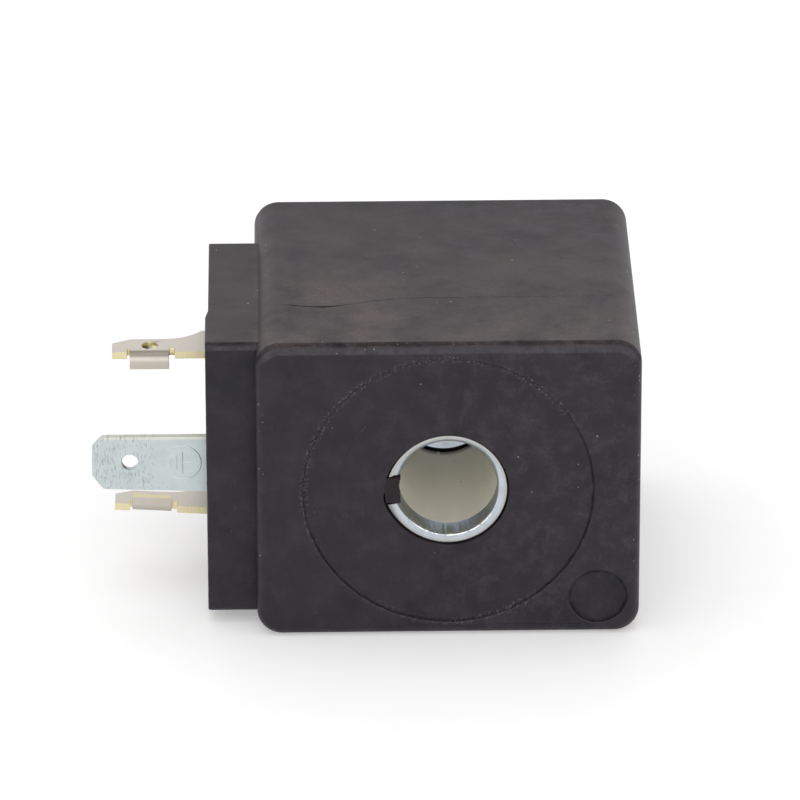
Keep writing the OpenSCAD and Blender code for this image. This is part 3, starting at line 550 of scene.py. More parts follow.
# %% [markdown]
# The bush in the bore's mouth is a rolled strip, and its two ends spring outwards a little at the slit. The plastic
# flowed round them, so the edge of its hole gives way by the same rule as the bush itself, which is made further down.
# The solid also fills the bush's rounded edges with slivers of plastic, which a real core pin would keep out. They go:
# in front the hole's wall is made anew, and inside they are tucked away into the metal.

# %% Moulding: room for the bushes
BORE_R = 5.1
BUSH_R = 6.25
SLIT_HALF = 1.4
FRONT_BUSH = (-18.55, -15.7)
REAR_BUSH = (2.1, 19.0)
FLARE = (0.3, 0.5)
FLARE_Y = (-17.7, FRONT_BUSH[0])


def flare(theta, y):
    """How far the bush's mouth opens at an angle round the bore and a depth, in mm: upper end, then lower end."""
    near_slit = np.clip((np.abs(np.degrees(theta)) - 110) / 56, 0, 1) ** 2
    near_mouth = np.clip((FLARE_Y[0] - y) / (FLARE_Y[0] - FLARE_Y[1]), 0, 1)
    return near_slit * near_mouth * np.where(theta > 0, *FLARE)


def reach(vert):
    """A vertex's distance from the bore's axis, in mm."""
    return math.hypot(vert.co.x, vert.co.z) / MM


fillers = [f for f in bm.faces if all(
    reach(v) < BUSH_R + 0.001 and FRONT_BUSH[0] - 0.001 < v.co.y / MM < FRONT_BUSH[1] + 0.001 for v in f.verts)]
bmesh.ops.delete(bm, geom=fillers, context="FACES")
bmesh.ops.bridge_loops(bm, edges=[e for e in bm.edges if e.is_boundary])
for vert in bm.verts:
    x, y, z = vert.co / MM
    if abs(reach(vert) - BUSH_R) < 0.02 and y < FLARE_Y[0]:
        wider = 1 + float(flare(math.atan2(z, x), y)) / BUSH_R
        vert.co.x, vert.co.z = x * wider * MM, z * wider * MM


def in_rear_sliver(vert):
    """True on the slivers in the two round edges of the rear bush, beside its slit."""
    x, y, z = vert.co / MM
    at_ends = REAR_BUSH[0] + 0.01 < y < REAR_BUSH[0] + 0.5 or y > REAR_BUSH[1] - 0.5
    return at_ends and reach(vert) < BORE_R + 0.41 and not (x < 0 and abs(z) < SLIT_HALF + 0.01)


slivers = [v for v in bm.verts if in_rear_sliver(v)]
bmesh.ops.triangulate(bm, faces=list({f for v in slivers for f in v.link_faces}))
for vert in slivers:
    wider = (BUSH_R - 0.4) / reach(vert)
    inner_y = REAR_BUSH[0] + 0.2 if vert.co.y < 10 * MM else REAR_BUSH[1] - 0.6
    vert.co = Vector((vert.co.x * wider, inner_y * MM, vert.co.z * wider))
bmesh.ops.remove_doubles(bm, verts=slivers, dist=0.002 * MM)
tucked = {v for v in slivers if v.is_valid}
folded = [f for f in bm.faces if all(v in tucked for v in f.verts)]
bmesh.ops.delete(bm, geom=folded, context="FACES")
bmesh.ops.holes_fill(bm, edges=[e for e in bm.edges if e.is_boundary], sides=0)
print("edges left open:", sum(e.is_boundary for e in bm.edges))

# %% [markdown]
# In the slit the plastic comes to the surface again and lies level with the seat.

# %% Moulding: the plastic in the front bush's slit
SLIT_PROUD = 0.13
levels = (FRONT_BUSH[0] - SLIT_PROUD, FRONT_BUSH[1])
sections = []
for z in np.linspace(-SLIT_HALF, SLIT_HALF, 9):
    corners = []
    for radius, y in zip((BORE_R, BUSH_R, BUSH_R, BORE_R), (levels[0], levels[0], levels[1], levels[1])):
        full = radius + (float(flare(math.pi, y)) + 0.02 if radius == BUSH_R else 0.02)
        corners.append(bm.verts.new(Vector((-math.sqrt(full ** 2 - z ** 2), y, z)) * MM))
    sections.append(corners)
slit_faces = [bm.faces.new(sections[0]), bm.faces.new(sections[-1])]
for a, b in zip(sections[:-1], sections[1:]):
    slit_faces += [bm.faces.new((a[k], a[k - 1], b[k - 1], b[k])) for k in range(4)]
bmesh.ops.recalc_face_normals(bm, faces=slit_faces)
print("slit filled with", len(slit_faces), "faces")

# %% [markdown]
# The rims of the seat and of the round mark are rubbed round. A narrow bevel there catches the light, and the material
# finds it as it finds every other rounded edge.

# %% Moulding: rubbed rims
FRONT_Y = -19.0
SEAT_R = 15.0
MARK = (15.5, -12.2, 3.0)


def circle_edges(bm, centre_x, centre_z, radius, y):
    """The edges of a circle that lies across the bore, in mm."""
    def on_it(vert):
        reach = math.hypot(vert.co.x / MM - centre_x, vert.co.z / MM - centre_z)
        return abs(vert.co.y / MM - y) < 0.01 and abs(reach - radius) < 0.02
    return [e for e in bm.edges if all(on_it(v) for v in e.verts)]


rims = circle_edges(bm, 0, 0, SEAT_R, FRONT_Y) + circle_edges(bm, *MARK, FRONT_Y)
bmesh.ops.bevel(bm, geom=rims, offset=0.12 * MM, offset_type="OFFSET", segments=3, profile=0.5, affect="EDGES")
print("rims rubbed:", len(rims), "edges")

# %% [markdown]
# A faint raised line runs round part of the seat, where a plate is let into the mould. It follows an arc, so Geometry
# Nodes draw it: a thin round bead that is swept along the arc and sunk into the face by most of its thickness.

# %% Moulding: the line on the seat
def grown(name, node_tree, values):
    """Runs a Geometry Nodes tree with these inputs and keeps what it makes as a plain mesh."""
    piece = bpy.data.objects.new(name, bpy.data.meshes.new(name))
    bpy.context.scene.collection.objects.link(piece)
    modifier = piece.modifiers.new(node_tree.name, "NODES")
    modifier.node_group = node_tree
    for socket in node_tree.interface.items_tree:
        if socket.in_out == "INPUT":
            modifier[socket.identifier] = values[socket.name]
    mesh = bpy.data.meshes.new_from_object(piece.evaluated_get(bpy.context.evaluated_depsgraph_get()))
    piece.modifiers.remove(modifier)
    piece.data = mesh
    return piece


plate_line = bpy.data.node_groups.new("plate_line", "GeometryNodeTree")
plate_line.interface.new_socket("Geometry", in_out="OUTPUT", socket_type="NodeSocketGeometry")
for label in ("Arc radius", "Start angle", "Sweep angle", "Bead radius"):
    plate_line.interface.new_socket(label, in_out="INPUT", socket_type="NodeSocketFloat")
plate_line.interface.new_socket("Finish", in_out="INPUT", socket_type="NodeSocketMaterial")
given = add(plate_line, "NodeGroupInput")
arc = add(plate_line, "GeometryNodeCurveArc", None, {
    "Resolution": 60, "Radius": given.outputs["Arc radius"], "Start Angle": given.outputs["Start angle"],
    "Sweep Angle": given.outputs["Sweep angle"]})
round_bead = add(plate_line, "GeometryNodeCurvePrimitiveCircle", None, {
    "Resolution": 8, "Radius": given.outputs["Bead radius"]})
bead = add(plate_line, "GeometryNodeCurveToMesh", None, {
    "Curve": arc.outputs["Curve"], "Profile Curve": round_bead.outputs["Curve"], "Fill Caps": True})
real_bead = add(plate_line, "GeometryNodeRealizeInstances", None, {0: bead.outputs[0]})
finished_bead = add(plate_line, "GeometryNodeSetMaterial", None, {
    "Geometry": real_bead.outputs[0], "Material": given.outputs["Finish"]})
add(plate_line, "NodeGroupOutput", None, {0: finished_bead.outputs[0]})

SEAT_FLOOR_Y = -18.7
line = grown("seat_line", plate_line, {
    "Arc radius": 11.2 * MM, "Start angle": math.radians(139), "Sweep angle": math.radians(47),
    "Bead radius": 0.09 * MM, "Finish": moulding_black})
line.data.transform(Matrix.Translation((0, (SEAT_FLOOR_Y + 0.04) * MM, 0)) @ Matrix.Rotation(math.radians(90), 4, "X"))
bm.from_mesh(line.data)
bpy.data.objects.remove(line)
moulding = make_piece("moulding", bm, [moulding_black])
takes_place_of(moulding, "encapsulation")

# %% [markdown]
# ## Zinc-plated iron: the bushes and the earth blade
#
# Zinc plating with a clear passivation is bright and a little blue. On the rolled bushes it is smooth, with fine
# turned lines on the face. On the earth blade, which is stamped from strip, it shows short scratches from tumbling.

# %% Material: zinc-plated iron, turned
zinc_turned, tree, shader, place, in_mm = new_material("zinc_plated_iron_turned")
spot = add(tree, "ShaderNodeSeparateXYZ", None, {0: in_mm})
across = add(tree, "ShaderNodeCombineXYZ", None, {0: spot.outputs[0], 2: spot.outputs[2]})
radius = add(tree, "ShaderNodeVectorMath", {"operation": "LENGTH"}, {0: across.outputs[0]})
# A bluish passivation near the bore, where the rolled edge is smoothest, and a warmer grey towards the rim
band = add(tree, "ShaderNodeMapRange", {"interpolation_type": "SMOOTHSTEP"}, {
    "Value": radius.outputs["Value"], "From Min": 5.6, "From Max": 5.95})
hue = add(tree, "ShaderNodeMix", {"data_type": "RGBA"}, {
    0: band.outputs[0], 6: linear("bfc8d2"), 7: linear("b6b7b3")})
# Its outer rim is painted dark below, a painted reflection of the black seat in the round that faces down
rim_zone = add(tree, "ShaderNodeMapRange", {"interpolation_type": "SMOOTHSTEP"}, {
    "Value": radius.outputs["Value"], "From Min": 5.98, "From Max": 6.16})
below = add(tree, "ShaderNodeMapRange", {"interpolation_type": "SMOOTHSTEP"}, {
    "Value": spot.outputs[2], "From Min": 2.0, "From Max": -4.0, "To Min": 0.1, "To Max": 0.75})
rim_burnt = add(tree, "ShaderNodeMath", {"operation": "MULTIPLY"}, {0: rim_zone.outputs[0], 1: below.outputs[0]})
hue = add(tree, "ShaderNodeMix", {"data_type": "RGBA"}, {
    0: rim_burnt.outputs[0], 6: hue.outputs[2], 7: linear("5c5e70")})
stains = add(tree, "ShaderNodeTexNoise", None, {"Vector": in_mm, "Scale": 0.9, "Detail": 4})
stain_mask = add(tree, "ShaderNodeMapRange", None, {
    "Value": stains.outputs["Fac"], "From Min": 0.45, "From Max": 0.75, "To Max": 0.5})
stained = add(tree, "ShaderNodeMix", {"data_type": "RGBA"}, {
    0: stain_mask.outputs[0], 6: hue.outputs[2], 7: linear("a7a69c")})
# Darker on the inner end of the rear bush
at_inner_end = add(tree, "ShaderNodeMath", {"operation": "COMPARE"}, {0: spot.outputs[1], 1: 2.1, 2: 0.05})
end_soot = add(tree, "ShaderNodeMath", {"operation": "MULTIPLY"}, {0: at_inner_end.outputs[0], 1: 0.9})
sooted = add(tree, "ShaderNodeMix", {"data_type": "RGBA"}, {
    0: end_soot.outputs[0], 6: stained.outputs[2], 7: linear("1c1a17")})
# The torn edge low in the mouth shines in dashes half a millimetre long
at_mouth = add(tree, "ShaderNodeMath", {"operation": "COMPARE"}, {0: radius.outputs["Value"], 1: 5.16, 2: 0.1})
in_front = add(tree, "ShaderNodeMath", {"operation": "LESS_THAN"}, {0: spot.outputs[1], 1: -18.2})
low = add(tree, "ShaderNodeMath", {"operation": "LESS_THAN"}, {0: spot.outputs[2], 1: -2.6})
dashes = add(tree, "ShaderNodeTexNoise", None, {"Vector": in_mm, "Scale": 1.9, "Detail": 2})
torn = add(tree, "ShaderNodeMapRange", {"interpolation_type": "SMOOTHSTEP"}, {
    "Value": dashes.outputs["Fac"], "From Min": 0.40, "From Max": 0.50})
for zone in (at_mouth, in_front, low):
    torn = add(tree, "ShaderNodeMath", {"operation": "MULTIPLY"}, {0: torn.outputs[0], 1: zone.outputs[0]})
bright = add(tree, "ShaderNodeMix", {"data_type": "RGBA"}, {
    0: torn.outputs[0], 6: sooted.outputs[2], 7: linear("fafbfc")})
tree.links.new(bright.outputs[2], shader.inputs["Base Color"])
shader.inputs["Metallic"].default_value = 1.0
polish = add(tree, "ShaderNodeMapRange", None, {"Value": stains.outputs["Fac"], "To Min": 0.22, "To Max": 0.42})
polish = add(tree, "ShaderNodeMix", None, {0: torn.outputs[0], 2: polish.outputs[0], 3: 0.12})
tree.links.new(polish.outputs[0], shader.inputs["Roughness"])
# Turned lines, drawn 0.08 mm apart, which is coarser than real ones so that they show
lines = add(tree, "ShaderNodeMath", {"operation": "SINE"}, {
    0: add(tree, "ShaderNodeMath", {"operation": "MULTIPLY"}, {
        0: radius.outputs["Value"], 1: 2 * math.pi / 0.08}).outputs[0]})
turned_skin = add(tree, "ShaderNodeBump", None, {
    "Height": lines.outputs[0], "Strength": 0.06, "Distance": 0.02 * MM})
tree.links.new(turned_skin.outputs[0], shader.inputs["Normal"])
print("material:", zinc_turned.name)

# %% [markdown]
# ## The split bushes
#
# Each bush is a strip of iron rolled into a ring, so it has a slit, and its edge at the bore is rolled round. The ring
# follows a rule: a closed outline in radius and depth, carried round the bore from one end of the slit to the other.
# Writing that rule as a grid of points gives end faces that are flat, which sweeping a curve would not.

# %% Split bush
def rounded(centre, radii, start_deg, end_deg, steps):
    """Points of a quarter ellipse."""
    angles = np.radians(np.linspace(start_deg, end_deg, steps))
    return [(centre[0] + radii[0] * math.cos(a), centre[1] + radii[1] * math.sin(a)) for a in angles]


def split_bush(name, y0, y1, roll_below, roll_above, rim, heel, burr, around, node):
    """A rolled ring between two depths; the rolls are its front round at the bore, in radius and depth."""
    roll = rounded((0, 0), (1, 1), 180, 270, 14)
    outline = (
        [(BORE_R, y0) for _ in roll]
        + rounded((BUSH_R - rim[0], y0 + rim[1]), rim, 270, 360, 9)
        + rounded((BUSH_R - 0.2, y1 - 0.2), (0.2, 0.2), 0, 90, 7)
        + rounded((BORE_R + heel, y1 - heel), (heel, heel), 90, 180, 10)
    )
    r, y = np.array(outline).T
    inwards, deeper = (np.zeros(len(outline)) for _ in range(2))
    inwards[:len(roll)], deeper[:len(roll)] = 1 + np.array(roll).T
    rest_r = r + roll_below[0] * inwards
    outward = (rest_r - BORE_R) / (BUSH_R - BORE_R)
    upper = math.pi - np.arcsin((SLIT_HALF + 0.18 * (1 - outward)) / rest_r)
    lower = -math.pi + np.arcsin((SLIT_HALF + 0.18 * outward) / rest_r)
    share = np.linspace(0, 1, around)[:, None]
    theta = lower + (upper - lower) * share
    # The round is larger above than below
    above = np.clip((np.sin(theta) + 0.2) / 1.1, 0, 1)
    above = above * above * (3 - 2 * above)
    yy = y + deeper * (roll_below[1] + (roll_above[1] - roll_below[1]) * above)
    rr = r + inwards * (roll_below[0] + (roll_above[0] - roll_below[0]) * above) + flare(theta, yy)
    # A torn burr along the lower edge of the mouth
    rough = np.random.default_rng(7)
    jag = np.interp(np.arange(around), np.arange(0, around, 3), rough.normal(0, 1, len(range(0, around, 3))))
    at_bottom = np.clip((-np.sin(theta[:, 0]) - 0.5) / 0.25, 0, 1)
    at_mouth = np.exp(-((deeper - 0.8) / 0.25) ** 2) * (inwards + deeper > 0)
    shift = burr * (jag * at_bottom)[:, None] * at_mouth
    rr = rr + np.abs(shift)
    yy = yy + shift * 0.6
    points = np.stack([rr * np.cos(theta), yy, rr * np.sin(theta)], axis=2)
    bm = bmesh.new()
    grid = [[bm.verts.new(Vector(p) * MM) for p in ring] for ring in points]
    count = len(outline)
    for a, b in zip(grid[:-1], grid[1:]):
        for k in range(count):
            bm.faces.new((a[k], a[(k + 1) % count], b[(k + 1) % count], b[k]))
    bm.faces.new(list(reversed(grid[0])))
    bm.faces.new(grid[-1])
    bmesh.ops.recalc_face_normals(bm, faces=bm.faces)
    return takes_place_of(make_piece(name, bm, [zinc_turned]), node)


split_bush("front_bush", *FRONT_BUSH, (0.08, 0.1), (0.9, 1.5), (0.4, 0.4), 0.1, 0.06, 300, "front_flux_bush")
split_bush("rear_bush", *REAR_BUSH, (0.08, 0.08), (0.08, 0.08), (0.2, 0.2), 0.35, 0.0, 160, "rear_flux_bush")

# %% [markdown]
# ## The bobbin
#
# Its tube is seen in the bore between the two bushes: a beige, glass-filled polyester with a smooth drawn wall. The
# solid has the right shape, so a whole copy with smooth shading is enough.

# %% Material and piece: bobbin
bobbin_beige, tree, shader, place, in_mm = new_material("beige_glass_filled_polyester")
# Cloudy beige with small dark flecks of recycled plastic
haze = add(tree, "ShaderNodeTexNoise", None, {"Vector": in_mm, "Scale": 0.3, "Detail": 4})
haze_colour = add(tree, "ShaderNodeMix", {"data_type": "RGBA"}, {
    0: haze.outputs["Fac"], 6: linear("e9e6d6"), 7: linear("f2f0e4")})
flecks = add(tree, "ShaderNodeTexVoronoi", None, {"Vector": in_mm, "Scale": 0.5})
fleck_core = add(tree, "ShaderNodeMath", {"operation": "LESS_THAN"}, {0: flecks.outputs["Distance"], 1: 0.06})
flecked = add(tree, "ShaderNodeMix", {"data_type": "RGBA"}, {
    0: fleck_core.outputs[0], 6: haze_colour.outputs[2], 7: linear("c6bfac")})
# The tube is darker towards its inner end, with a lighter tick where the mould's core let go
spot = add(tree, "ShaderNodeSeparateXYZ", None, {0: in_mm})
across = add(tree, "ShaderNodeCombineXYZ", None, {0: spot.outputs[0], 2: spot.outputs[2]})
from_axis = add(tree, "ShaderNodeVectorMath", {"operation": "LENGTH"}, {0: across.outputs[0]})
in_tube = add(tree, "ShaderNodeMath", {"operation": "LESS_THAN"}, {0: from_axis.outputs["Value"], 1: 6.4})
deep = add(tree, "ShaderNodeMapRange", {"interpolation_type": "SMOOTHSTEP"}, {
    "Value": spot.outputs[1], "From Min": 0.0, "From Max": 1.1, "To Max": 0.9})
beside_tick = add(tree, "ShaderNodeMath", {"operation": "COMPARE"}, {0: spot.outputs[0], 1: -0.6, 2: 0.16})
tick = add(tree, "ShaderNodeMapRange", None, {"Value": beside_tick.outputs[0], "To Min": 1.0, "To Max": 0.55})
soot = add(tree, "ShaderNodeMath", {"operation": "MULTIPLY"}, {0: deep.outputs[0], 1: in_tube.outputs[0]})
soot = add(tree, "ShaderNodeMath", {"operation": "MULTIPLY"}, {0: soot.outputs[0], 1: tick.outputs[0]})
sooted = add(tree, "ShaderNodeMix", {"data_type": "RGBA"}, {
    0: soot.outputs[0], 6: flecked.outputs[2], 7: linear("14120e")})
tree.links.new(sooted.outputs[2], shader.inputs["Base Color"])
dullness = add(tree, "ShaderNodeMapRange", None, {"Value": haze.outputs["Fac"], "To Min": 0.5, "To Max": 0.65})
tree.links.new(dullness.outputs[0], shader.inputs["Roughness"])
bobbin_skin = add(tree, "ShaderNodeBump", None, {"Height": haze.outputs["Fac"], "Strength": 0.1, "Distance": 0.1 * MM})
tree.links.new(bobbin_skin.outputs[0], shader.inputs["Normal"])
takes_place_of(make_piece("bobbin_shell", whole_copy("bobbin"), [bobbin_beige]), "bobbin")

# %% [markdown]
# ## The line blades
#
# They are stamped from brass strip that was tinned before, so the broad faces are pale tin, and every edge that the
# die cut shows the brass. Which face is which follows from the direction it looks in, once a blade's lean is undone.
# All sharp edges get a narrow round, because a die leaves none that are perfectly sharp and a round one catches light.

# %% Material: tin plate
tin_plate, tree, shader, place, in_mm = new_material("tin_plated_brass")
# Matt tin is a warm silver, clouded by handling
tin_clouds = add(tree, "ShaderNodeTexNoise", None, {"Vector": in_mm, "Scale": 0.7, "Detail": 5, "Roughness": 0.6})
tin_colour = add(tree, "ShaderNodeMix", {"data_type": "RGBA"}, {
    0: tin_clouds.outputs["Fac"], 6: linear("d2cabd"), 7: linear("e2ddd6")})
# The bend gets a dull brownish band, stretched plating with painted shade where the bend doesn't mirror the light, and
# faces that look forward get painted shade
tin_way = add(tree, "ShaderNodeSeparateXYZ", None, {0: place.outputs["Normal"]})
tin_forward = add(tree, "ShaderNodeMath", {"operation": "MULTIPLY"}, {0: tin_way.outputs[1], 1: -1})
fold = add(tree, "ShaderNodeValToRGB", None, {"Fac": tin_forward.outputs[0]})
fold.color_ramp.elements[0].position = 0.1
fold.color_ramp.elements[0].color = (0, 0, 0, 1)
fold.color_ramp.elements[1].position = 1.0
fold.color_ramp.elements[1].color = (0.27, 0.27, 0.27, 1)
for share, shade in ((0.3, 0.85), (0.5, 0.8), (0.75, 0.45)):
    step = fold.color_ramp.elements.new(share)
    step.color = (shade, shade, shade, 1)
tin_folded = add(tree, "ShaderNodeMix", {"data_type": "RGBA"}, {
    0: fold.outputs[0], 6: tin_colour.outputs[2], 7: linear("8f8374")})
tree.links.new(tin_folded.outputs[2], shader.inputs["Base Color"])
shader.inputs["Metallic"].default_value = 1.0
tin_matt = add(tree, "ShaderNodeMapRange", None, {"Value": tin_clouds.outputs["Fac"], "To Min": 0.3, "To Max": 0.5})
tree.links.new(tin_matt.outputs[0], shader.inputs["Roughness"])
tin_grain = add(tree, "ShaderNodeTexNoise", None, {"Vector": in_mm, "Scale": 6, "Detail": 2})
tin_skin = add(tree, "ShaderNodeBump", None, {
    "Height": tin_grain.outputs["Fac"], "Strength": 0.15, "Distance": 0.02 * MM})
tree.links.new(tin_skin.outputs[0], shader.inputs["Normal"])

# %% Material: bare brass
brass_cut, tree, shader, place, in_mm = new_material("brass_cut_edge")
# A sheared edge: bright yellow with fine streaks across the strip's thickness
shear_way = add(tree, "ShaderNodeMapping", None, {"Vector": in_mm, "Scale": (5, 5, 1.2)})
streaks = add(tree, "ShaderNodeTexNoise", None, {"Vector": shear_way.outputs[0], "Scale": 1.0, "Detail": 3})
brass_colour = add(tree, "ShaderNodeMix", {"data_type": "RGBA"}, {
    0: streaks.outputs["Fac"], 6: linear("d8c994"), 7: linear("efe8c9")})
tree.links.new(brass_colour.outputs[2], shader.inputs["Base Color"])
shader.inputs["Metallic"].default_value = 1.0
shear_matt = add(tree, "ShaderNodeMapRange", None, {"Value": streaks.outputs["Fac"], "To Min": 0.25, "To Max": 0.45})
tree.links.new(shear_matt.outputs[0], shader.inputs["Roughness"])
shear_skin = add(tree, "ShaderNodeBump", None, {
    "Height": streaks.outputs["Fac"], "Strength": 0.2, "Distance": 0.02 * MM})
tree.links.new(shear_skin.outputs[0], shader.inputs["Normal"])
print("materials:", tin_plate.name, brass_cut.name)

# %% Line terminals
LINE_Z = 9.0
LIP_BEND_Y = -3.8
LIP_X = (-32.85, -28.75)
LIP_RIM = 1.4


def round_sharp_edges(bm, width_mm, limit_deg=30):
    """A narrow round on every edge that is sharper than the limit."""
    sharp = [e for e in bm.edges if e.is_manifold and e.calc_face_angle() > math.radians(limit_deg)]
    bmesh.ops.bevel(bm, geom=sharp, offset=width_mm * MM, offset_type="OFFSET", segments=2, profile=0.5,
                    affect="EDGES", clamp_overlap=True, miter_outer="SHARP")


def line_terminal(name, node, side, lean_deg):
    """A blade whose faces are tin and whose cut edges are brass; side is 1 above the middle and -1 below it."""
    bm = whole_copy(node)
    round_sharp_edges(bm, 0.05)
    upright = Matrix.Rotation(math.radians(lean_deg) * side, 3, "Y")
    foot = Vector((BOSS_FACE_X, 0, side * LINE_Z)) * MM
    for face in bm.faces:
        way = upright @ face.normal
        spot = upright @ (face.calc_center_median() - foot) / MM
        on_lip = LIP_X[0] - 0.01 < spot.x + BOSS_FACE_X < LIP_X[1] + 0.01 and spot.y < LIP_BEND_Y + 0.01
        if on_lip:
            at_rim = spot.z * side < 0.4 - LIP_RIM and abs(way.z) > 0.5
            plated = abs(way.x) < 0.5 and not at_rim
        else:
            plated = abs(way.z) > 0.5
        face.material_index = 0 if plated else 1
    return takes_place_of(make_piece(name, bm, [tin_plate, brass_cut]), node)


line_terminal("upper_blade", "upper_line_terminal", 1, 0.0)
line_terminal("lower_blade", "lower_line_terminal", -1, 3.5)

# %% [markdown]
# ## The earth blade
#
# Wider than the other two, and plated with zinc all over. The sign for earth is pressed into it beside the boss, in a
# ring, as on most plugs of this kind. A pressed line has a raised border, and a thin bead along the line gives the eye
# the same pair of light and dark. The bead follows a path, so Geometry Nodes make it.

# %% Material: zinc-plated strip
zinc_strip, tree, shader, place, in_mm = new_material("zinc_plated_strip")
strip_clouds = add(tree, "ShaderNodeTexNoise", None, {"Vector": in_mm, "Scale": 0.5, "Detail": 5, "Roughness": 0.6})
strip_colour = add(tree, "ShaderNodeMix", {"data_type": "RGBA"}, {
    0: strip_clouds.outputs["Fac"], 6: linear("b3bec1"), 7: linear("d1dad9")})
# A cream edge, where the plating came out thin, along the top
strip_spot = add(tree, "ShaderNodeSeparateXYZ", None, {0: in_mm})
along_top = add(tree, "ShaderNodeMapRange", {"interpolation_type": "SMOOTHSTEP"}, {
    "Value": strip_spot.outputs[2], "From Min": 2.72, "From Max": 3.0, "To Max": 0.55})
strip_edged = add(tree, "ShaderNodeMix", {"data_type": "RGBA"}, {
    0: along_top.outputs[0], 6: strip_colour.outputs[2], 7: linear("e6e3d2")})
# Short dark scratches, about 1 mm long and 0.1 mm wide, leaning one way and thick towards the tip
scratch_way = add(tree, "ShaderNodeMapping", None, {
    "Vector": in_mm, "Rotation": (0, math.radians(38), 0), "Scale": (5.5, 1, 1.6)})
scratches = add(tree, "ShaderNodeTexNoise", None, {"Vector": scratch_way.outputs[0], "Scale": 1.0, "Detail": 3, "Distortion": 0.6})
scratch_mask = add(tree, "ShaderNodeMapRange", {"interpolation_type": "SMOOTHSTEP"}, {
    "Value": scratches.outputs["Fac"], "From Min": 0.54, "From Max": 0.64, "To Max": 0.5})
to_tip = add(tree, "ShaderNodeMapRange", {"interpolation_type": "SMOOTHSTEP"}, {
    "Value": strip_spot.outputs[0], "From Min": -29, "From Max": -32, "To Min": 0.15, "To Max": 1.0})
scratch_mask = add(tree, "ShaderNodeMath", {"operation": "MULTIPLY"}, {0: scratch_mask.outputs[0], 1: to_tip.outputs[0]})
strip_worn = add(tree, "ShaderNodeMix", {"data_type": "RGBA"}, {
    0: scratch_mask.outputs[0], 6: strip_edged.outputs[2], 7: linear("7d878a")})
tree.links.new(strip_worn.outputs[2], shader.inputs["Base Color"])
shader.inputs["Metallic"].default_value = 1.0
strip_matt = add(tree, "ShaderNodeMapRange", None, {"Value": strip_clouds.outputs["Fac"], "To Min": 0.28, "To Max": 0.45})
tree.links.new(strip_matt.outputs[0], shader.inputs["Roughness"])
strip_skin = add(tree, "ShaderNodeBump", None, {
    "Height": scratch_mask.outputs[0], "Strength": 0.4, "Distance": -0.04 * MM})
tree.links.new(strip_skin.outputs[0], shader.inputs["Normal"])
print("material:", zinc_strip.name)

# %% Earth sign as a Geometry Nodes tree
earth_sign = bpy.data.node_groups.new("earth_sign", "GeometryNodeTree")
earth_sign.interface.new_socket("Geometry", in_out="OUTPUT", socket_type="NodeSocketGeometry")
for label in ("Ring radius", "Bead radius", "Bar spacing"):
    earth_sign.interface.new_socket(label, in_out="INPUT", socket_type="NodeSocketFloat")
earth_sign.interface.new_socket("Finish", in_out="INPUT", socket_type="NodeSocketMaterial")
given = add(earth_sign, "NodeGroupInput")
ring = add(earth_sign, "GeometryNodeCurvePrimitiveCircle", None, {"Resolution": 72, "Radius": given.outputs["Ring radius"]})
strokes = [ring.outputs["Curve"]]
for step, half_share in ((0, 0.62), (1, 0.42), (2, 0.22)):
    far = add(earth_sign, "ShaderNodeMath", {"operation": "MULTIPLY"}, {0: given.outputs["Ring radius"], 1: half_share})
    near = add(earth_sign, "ShaderNodeMath", {"operation": "MULTIPLY"}, {0: far.outputs[0], 1: -1})
    down_by = add(earth_sign, "ShaderNodeMath", {"operation": "MULTIPLY"}, {0: given.outputs["Bar spacing"], 1: -step})
    start = add(earth_sign, "ShaderNodeCombineXYZ", None, {0: near.outputs[0], 1: down_by.outputs[0]})
    end = add(earth_sign, "ShaderNodeCombineXYZ", None, {0: far.outputs[0], 1: down_by.outputs[0]})
    bar = add(earth_sign, "GeometryNodeCurvePrimitiveLine", None, {"Start": start.outputs[0], "End": end.outputs[0]})
    strokes.append(bar.outputs["Curve"])
stem_top = add(earth_sign, "ShaderNodeMath", {"operation": "MULTIPLY"}, {0: given.outputs["Ring radius"], 1: 0.75})
stem_end = add(earth_sign, "ShaderNodeCombineXYZ", None, {1: stem_top.outputs[0]})
stem = add(earth_sign, "GeometryNodeCurvePrimitiveLine", None, {"End": stem_end.outputs[0]})
strokes.append(stem.outputs["Curve"])
all_strokes = add(earth_sign, "GeometryNodeJoinGeometry")
for stroke in strokes:
    earth_sign.links.new(stroke, all_strokes.inputs[0])
round_bead = add(earth_sign, "GeometryNodeCurvePrimitiveCircle", None, {
    "Resolution": 8, "Radius": given.outputs["Bead radius"]})
beads = add(earth_sign, "GeometryNodeCurveToMesh", None, {
    "Curve": all_strokes.outputs[0], "Profile Curve": round_bead.outputs["Curve"], "Fill Caps": True})
smooth_beads = add(earth_sign, "GeometryNodeSetShadeSmooth", None, {0: beads.outputs[0]})
real_beads = add(earth_sign, "GeometryNodeRealizeInstances", None, {0: smooth_beads.outputs[0]})
plated_beads = add(earth_sign, "GeometryNodeSetMaterial", None, {
    "Geometry": real_beads.outputs[0], "Material": given.outputs["Finish"]})
add(earth_sign, "NodeGroupOutput", None, {0: plated_beads.outputs[0]})

# %% Earth terminal
EARTH_Y = -11.5
BLADE_HALF = 0.4
sign = grown("earth_sign_beads", earth_sign, {
    "Ring radius": 1.9 * MM, "Bead radius": 0.07 * MM, "Bar spacing": 0.62 * MM, "Finish": zinc_strip})
